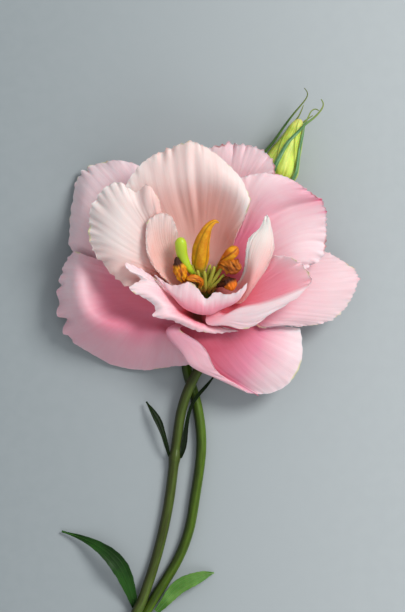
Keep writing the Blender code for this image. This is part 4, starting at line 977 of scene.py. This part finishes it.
# A paler green for the right leaf.
PALE_LEAF = leaf_material("pale_leaf_skin", (76, 124, 46), (114, 160, 78), (156, 188, 120))
add_blade("leaf_right", PALE_LEAF, 110, 41,
          [(-11.6, -77.2, 1.7, 0.7), (-9, -74.2, 2.6, 1.3), (-5.6, -70.6, 3.2, 1.8),
           (-2, -68.9, 2.9, 1.6), (0.8, -67.9, 1.9, 0.95), (2.8, -67.5, 0.8, 0.1)])
add_blade("bract_left", BRACT, 80, 21,
          [(-8.35, -38.2, 1.6, 0.2), (-9, -35.6, 2.4, 0.5), (-9.9, -32.4, 2.8, 0.62),
           (-11.3, -28.8, 2.6, 0.86), (-12.8, -26.3, 2.2, 0.56), (-14.2, -24.2, 1.6, 0.08)])
add_blade("bract_right", BRACT, 80, 21,
          [(-5.5, -38.4, 2.1, 0.25), (-4.85, -36, 2.3, 0.6), (-4.3, -32.2, 2.6, 0.6),
           (-3.75, -28.4, 3.3, 0.45), (-2.3, -24.2, 4.2, 0.42), (0.9, -20.2, 3.7, 0.38),
           (3.1, -17.5, 3, 0.08)])

# ---- calyx and bud ----

BUD_BASE = np.array([17.4, 29.4, 5.1])
BUD_TIP = np.array([24.6, 47.0, 6.6])
BUD_LENGTH = np.linalg.norm(BUD_TIP - BUD_BASE)
BUD_AXIS = (BUD_TIP - BUD_BASE) / BUD_LENGTH
BUD_SIDE = unit(np.cross(BUD_AXIS, UP))
BUD_RISE = np.cross(BUD_SIDE, BUD_AXIS)
BUD_RADIUS = 5.1
BUD_RECEPTACLE_PROFILE = [(-1.6, 1.2), (-0.9, 1.5), (0.02, 1.6)]
CUP_SKIN = organ_material("calyx_cup_skin", (72, 104, 36), (110, 144, 62), 0.45, 500.0, (0.3, 0.7))


def add_receptacle(name, start, direction, profile):
    """A turned cup from a profile of (place along, radius)."""
    heights, radii = np.array(profile, float).T
    at = np.linspace(0, 1, 60)
    along = heights[0] + (heights[-1] - heights[0]) * at
    angles = circle(60)
    lobes = 0.985 + 0.015 * np.cos(5 * angles)
    outline = ring(np.interp(along, heights, radii)[:, None] * lobes, angles)
    body = (start + direction * along[:, None], outline, {"along": at[:, None]})
    add_swept(name + "_cup", [body], CUP_SKIN, name)


def add_sepal(name, node, path, half, out, material, flat):
    """A thin ribbon with a keel, flattened towards out."""
    at = np.linspace(0, 1, len(path))[:, None]
    angles = circle(28)
    across = half[:, None] * np.cos(angles)
    keel = 0.16 * half[:, None] * np.maximum(np.sin(angles), 0) * bell(np.cos(angles), 0.25)
    outline = np.stack([across, flat * half[:, None] * np.sin(angles) + keel], axis=-1)
    add_swept(name, [(path, outline, {"along": at, "around": angles / tau})], material, node, up=out)


FLOWER_SEPAL_RINGS = 70


def add_flower_sepals():
    material = sepal_material("flower_sepal_skin", (58, 92, 34), (96, 136, 66), (84, 120, 50))
    half = 0.75 * np.sqrt(1 - np.linspace(0, 1, FLOWER_SEPAL_RINGS)**1.5 * 0.99)
    for number, azimuth in enumerate((60, 132, 204, 276, 348), 1):
        front = -sin(radians(azimuth))
        tip_height = -5 - 6 * front if front > 0 else -3
        profile = [(2.9, -7.3), (4.9, -5.6), (8, (tip_height - 5.4) / 2), (12, tip_height)]
        path = smooth_path([flower_point(azimuth, *spot) for spot in profile], FLOWER_SEPAL_RINGS)
        out = flower_point(azimuth, 1, 0) - FLOWER_CENTRE
        add_sepal(f"calyx_lobe_{number}", f"flower_sepal_{number}", path, half, out, material, 0.36)


def bud_radius(share):
    return BUD_RADIUS * np.interp(share, [0, 0.12, 0.22, 0.3, 0.5, 0.68, 0.84, 0.95, 1],
                                  [0.34, 0.76, 0.96, 1, 0.8, 0.58, 0.43, 0.3, 0.12])


def add_closed_petals():
    """The bud's petals, wound round each other in five folds."""
    shares = np.linspace(0.02, 1, 150)
    knots = np.linspace(0.02, 1, 12)
    radii = np.interp(shares, knots, bud_radius(knots))
    radii = np.convolve(np.pad(radii, 6, mode="edge"), np.ones(13) / 13, mode="valid")
    at = shares[:, None]
    angles = circle(140)
    fold = (5 * (angles - 1.9 * at) / tau) % 1
    saw = fold - 0.5 - ease(fold, 0.9, 1)
    depth = 0.1 * ease(at, 0.05, 0.5) + 0.1 * ease(at, 0.75, 1)
    outline = ring(radii[:, None] * rounded_end(at, 0.04) * (0.97 + depth * saw), angles)
    # groove marks the creases that the material darkens with painted shade.
    groove = 1 - np.minimum(fold / 0.1, 1) * (1 - ease(fold, 0.86, 1))
    layers = {"along": at, "around": angles / tau, "groove": groove, "fold": fold}
    path = BUD_BASE + BUD_AXIS * (shares * BUD_LENGTH)[:, None]
    add_swept("closed_petals", [(path, outline, layers)], bud_material(), "bud_corolla")


BUD_SEPAL_PLACES = (0.06, 0.16, 0.3, 0.5, 0.7, 0.86)  # in shares of the bud's length
BUD_SEPAL_CLEARANCE = 0.55
BUD_SEPAL_RINGS = 110


def add_bud_sepal(number, azimuths, held, skin, tip, half_width=0.64):
    """A sepal that lies on the bud at the first few places, and ends in a free tip."""
    outs = [cos(radians(azimuth)) * BUD_SIDE + sin(radians(azimuth)) * BUD_RISE
            for azimuth in np.broadcast_to(azimuths, held)]
    height, radius = BUD_RECEPTACLE_PROFILE[1]
    points = [BUD_BASE + BUD_AXIS * height + outs[0] * (radius + BUD_SEPAL_CLEARANCE)]
    points += [BUD_BASE + BUD_AXIS * BUD_LENGTH * share + out * (bud_radius(share) + BUD_SEPAL_CLEARANCE)
               for share, out in zip(BUD_SEPAL_PLACES, outs)]
    path = smooth_path(points + [np.array(point) for point in tip], BUD_SEPAL_RINGS)
    t = np.linspace(0, 1, BUD_SEPAL_RINGS)
    half = half_width * np.sqrt(1 - 0.9 * t**2) * (1 - 0.4 * t)
    add_sepal(f"bud_calyx_lobe_{number}", f"bud_sepal_{number}", path, half, outs[0], skin, 0.42)


add_receptacle("receptacle", FLOWER_CENTRE, FLOWER_AXIS, RECEPTACLE_PROFILE)
add_receptacle("bud_receptacle", BUD_BASE, BUD_AXIS, BUD_RECEPTACLE_PROFILE)
add_flower_sepals()
add_closed_petals()
# Painted light and shade: a lit copy of the sepal colours, and a darker shaded copy for the sepals on the bud's
# left side.
LIT_SEPAL = sepal_material("lit_sepal_skin", (70, 118, 70), (116, 168, 112), (126, 146, 66))
SHADED_SEPAL = sepal_material("shaded_sepal_skin", (50, 86, 26), (84, 122, 44), (118, 134, 58))
add_bud_sepal(1, 174, 4, SHADED_SEPAL,
              [(20, 44.3, 7.6), (22.8, 48.1, 7.8), (25.3, 51.1, 7.5), (26.4, 53.4, 7.2), (25.6, 54.8, 6.9)],
              half_width=0.95)
add_bud_sepal(2, 228, 6, SHADED_SEPAL, [(23.9, 47.3, 5.6), (24.8, 49, 6), (25.4, 50.5, 6.2)])
add_bud_sepal(3, (104, 104, 104, 104, 97, 70), 6, LIT_SEPAL,
              [(25.4, 45.2, 9), (27.3, 46.7, 9), (29.3, 48.6, 8.7), (30.3, 50.8, 8.2), (29.8, 51.9, 7.9)])
add_bud_sepal(4, 43, 6, LIT_SEPAL,
              [(25.7, 45.6, 7.6), (26.6, 47.5, 7.2), (27.5, 49.1, 6.9), (28.5, 49.5, 6.6), (29.3, 49.1, 6.4)])
add_bud_sepal(5, 300, 6, LIT_SEPAL, [(25.5, 46.3, 4.7), (26.6, 47.2, 4.6), (27.8, 48, 4.6)])
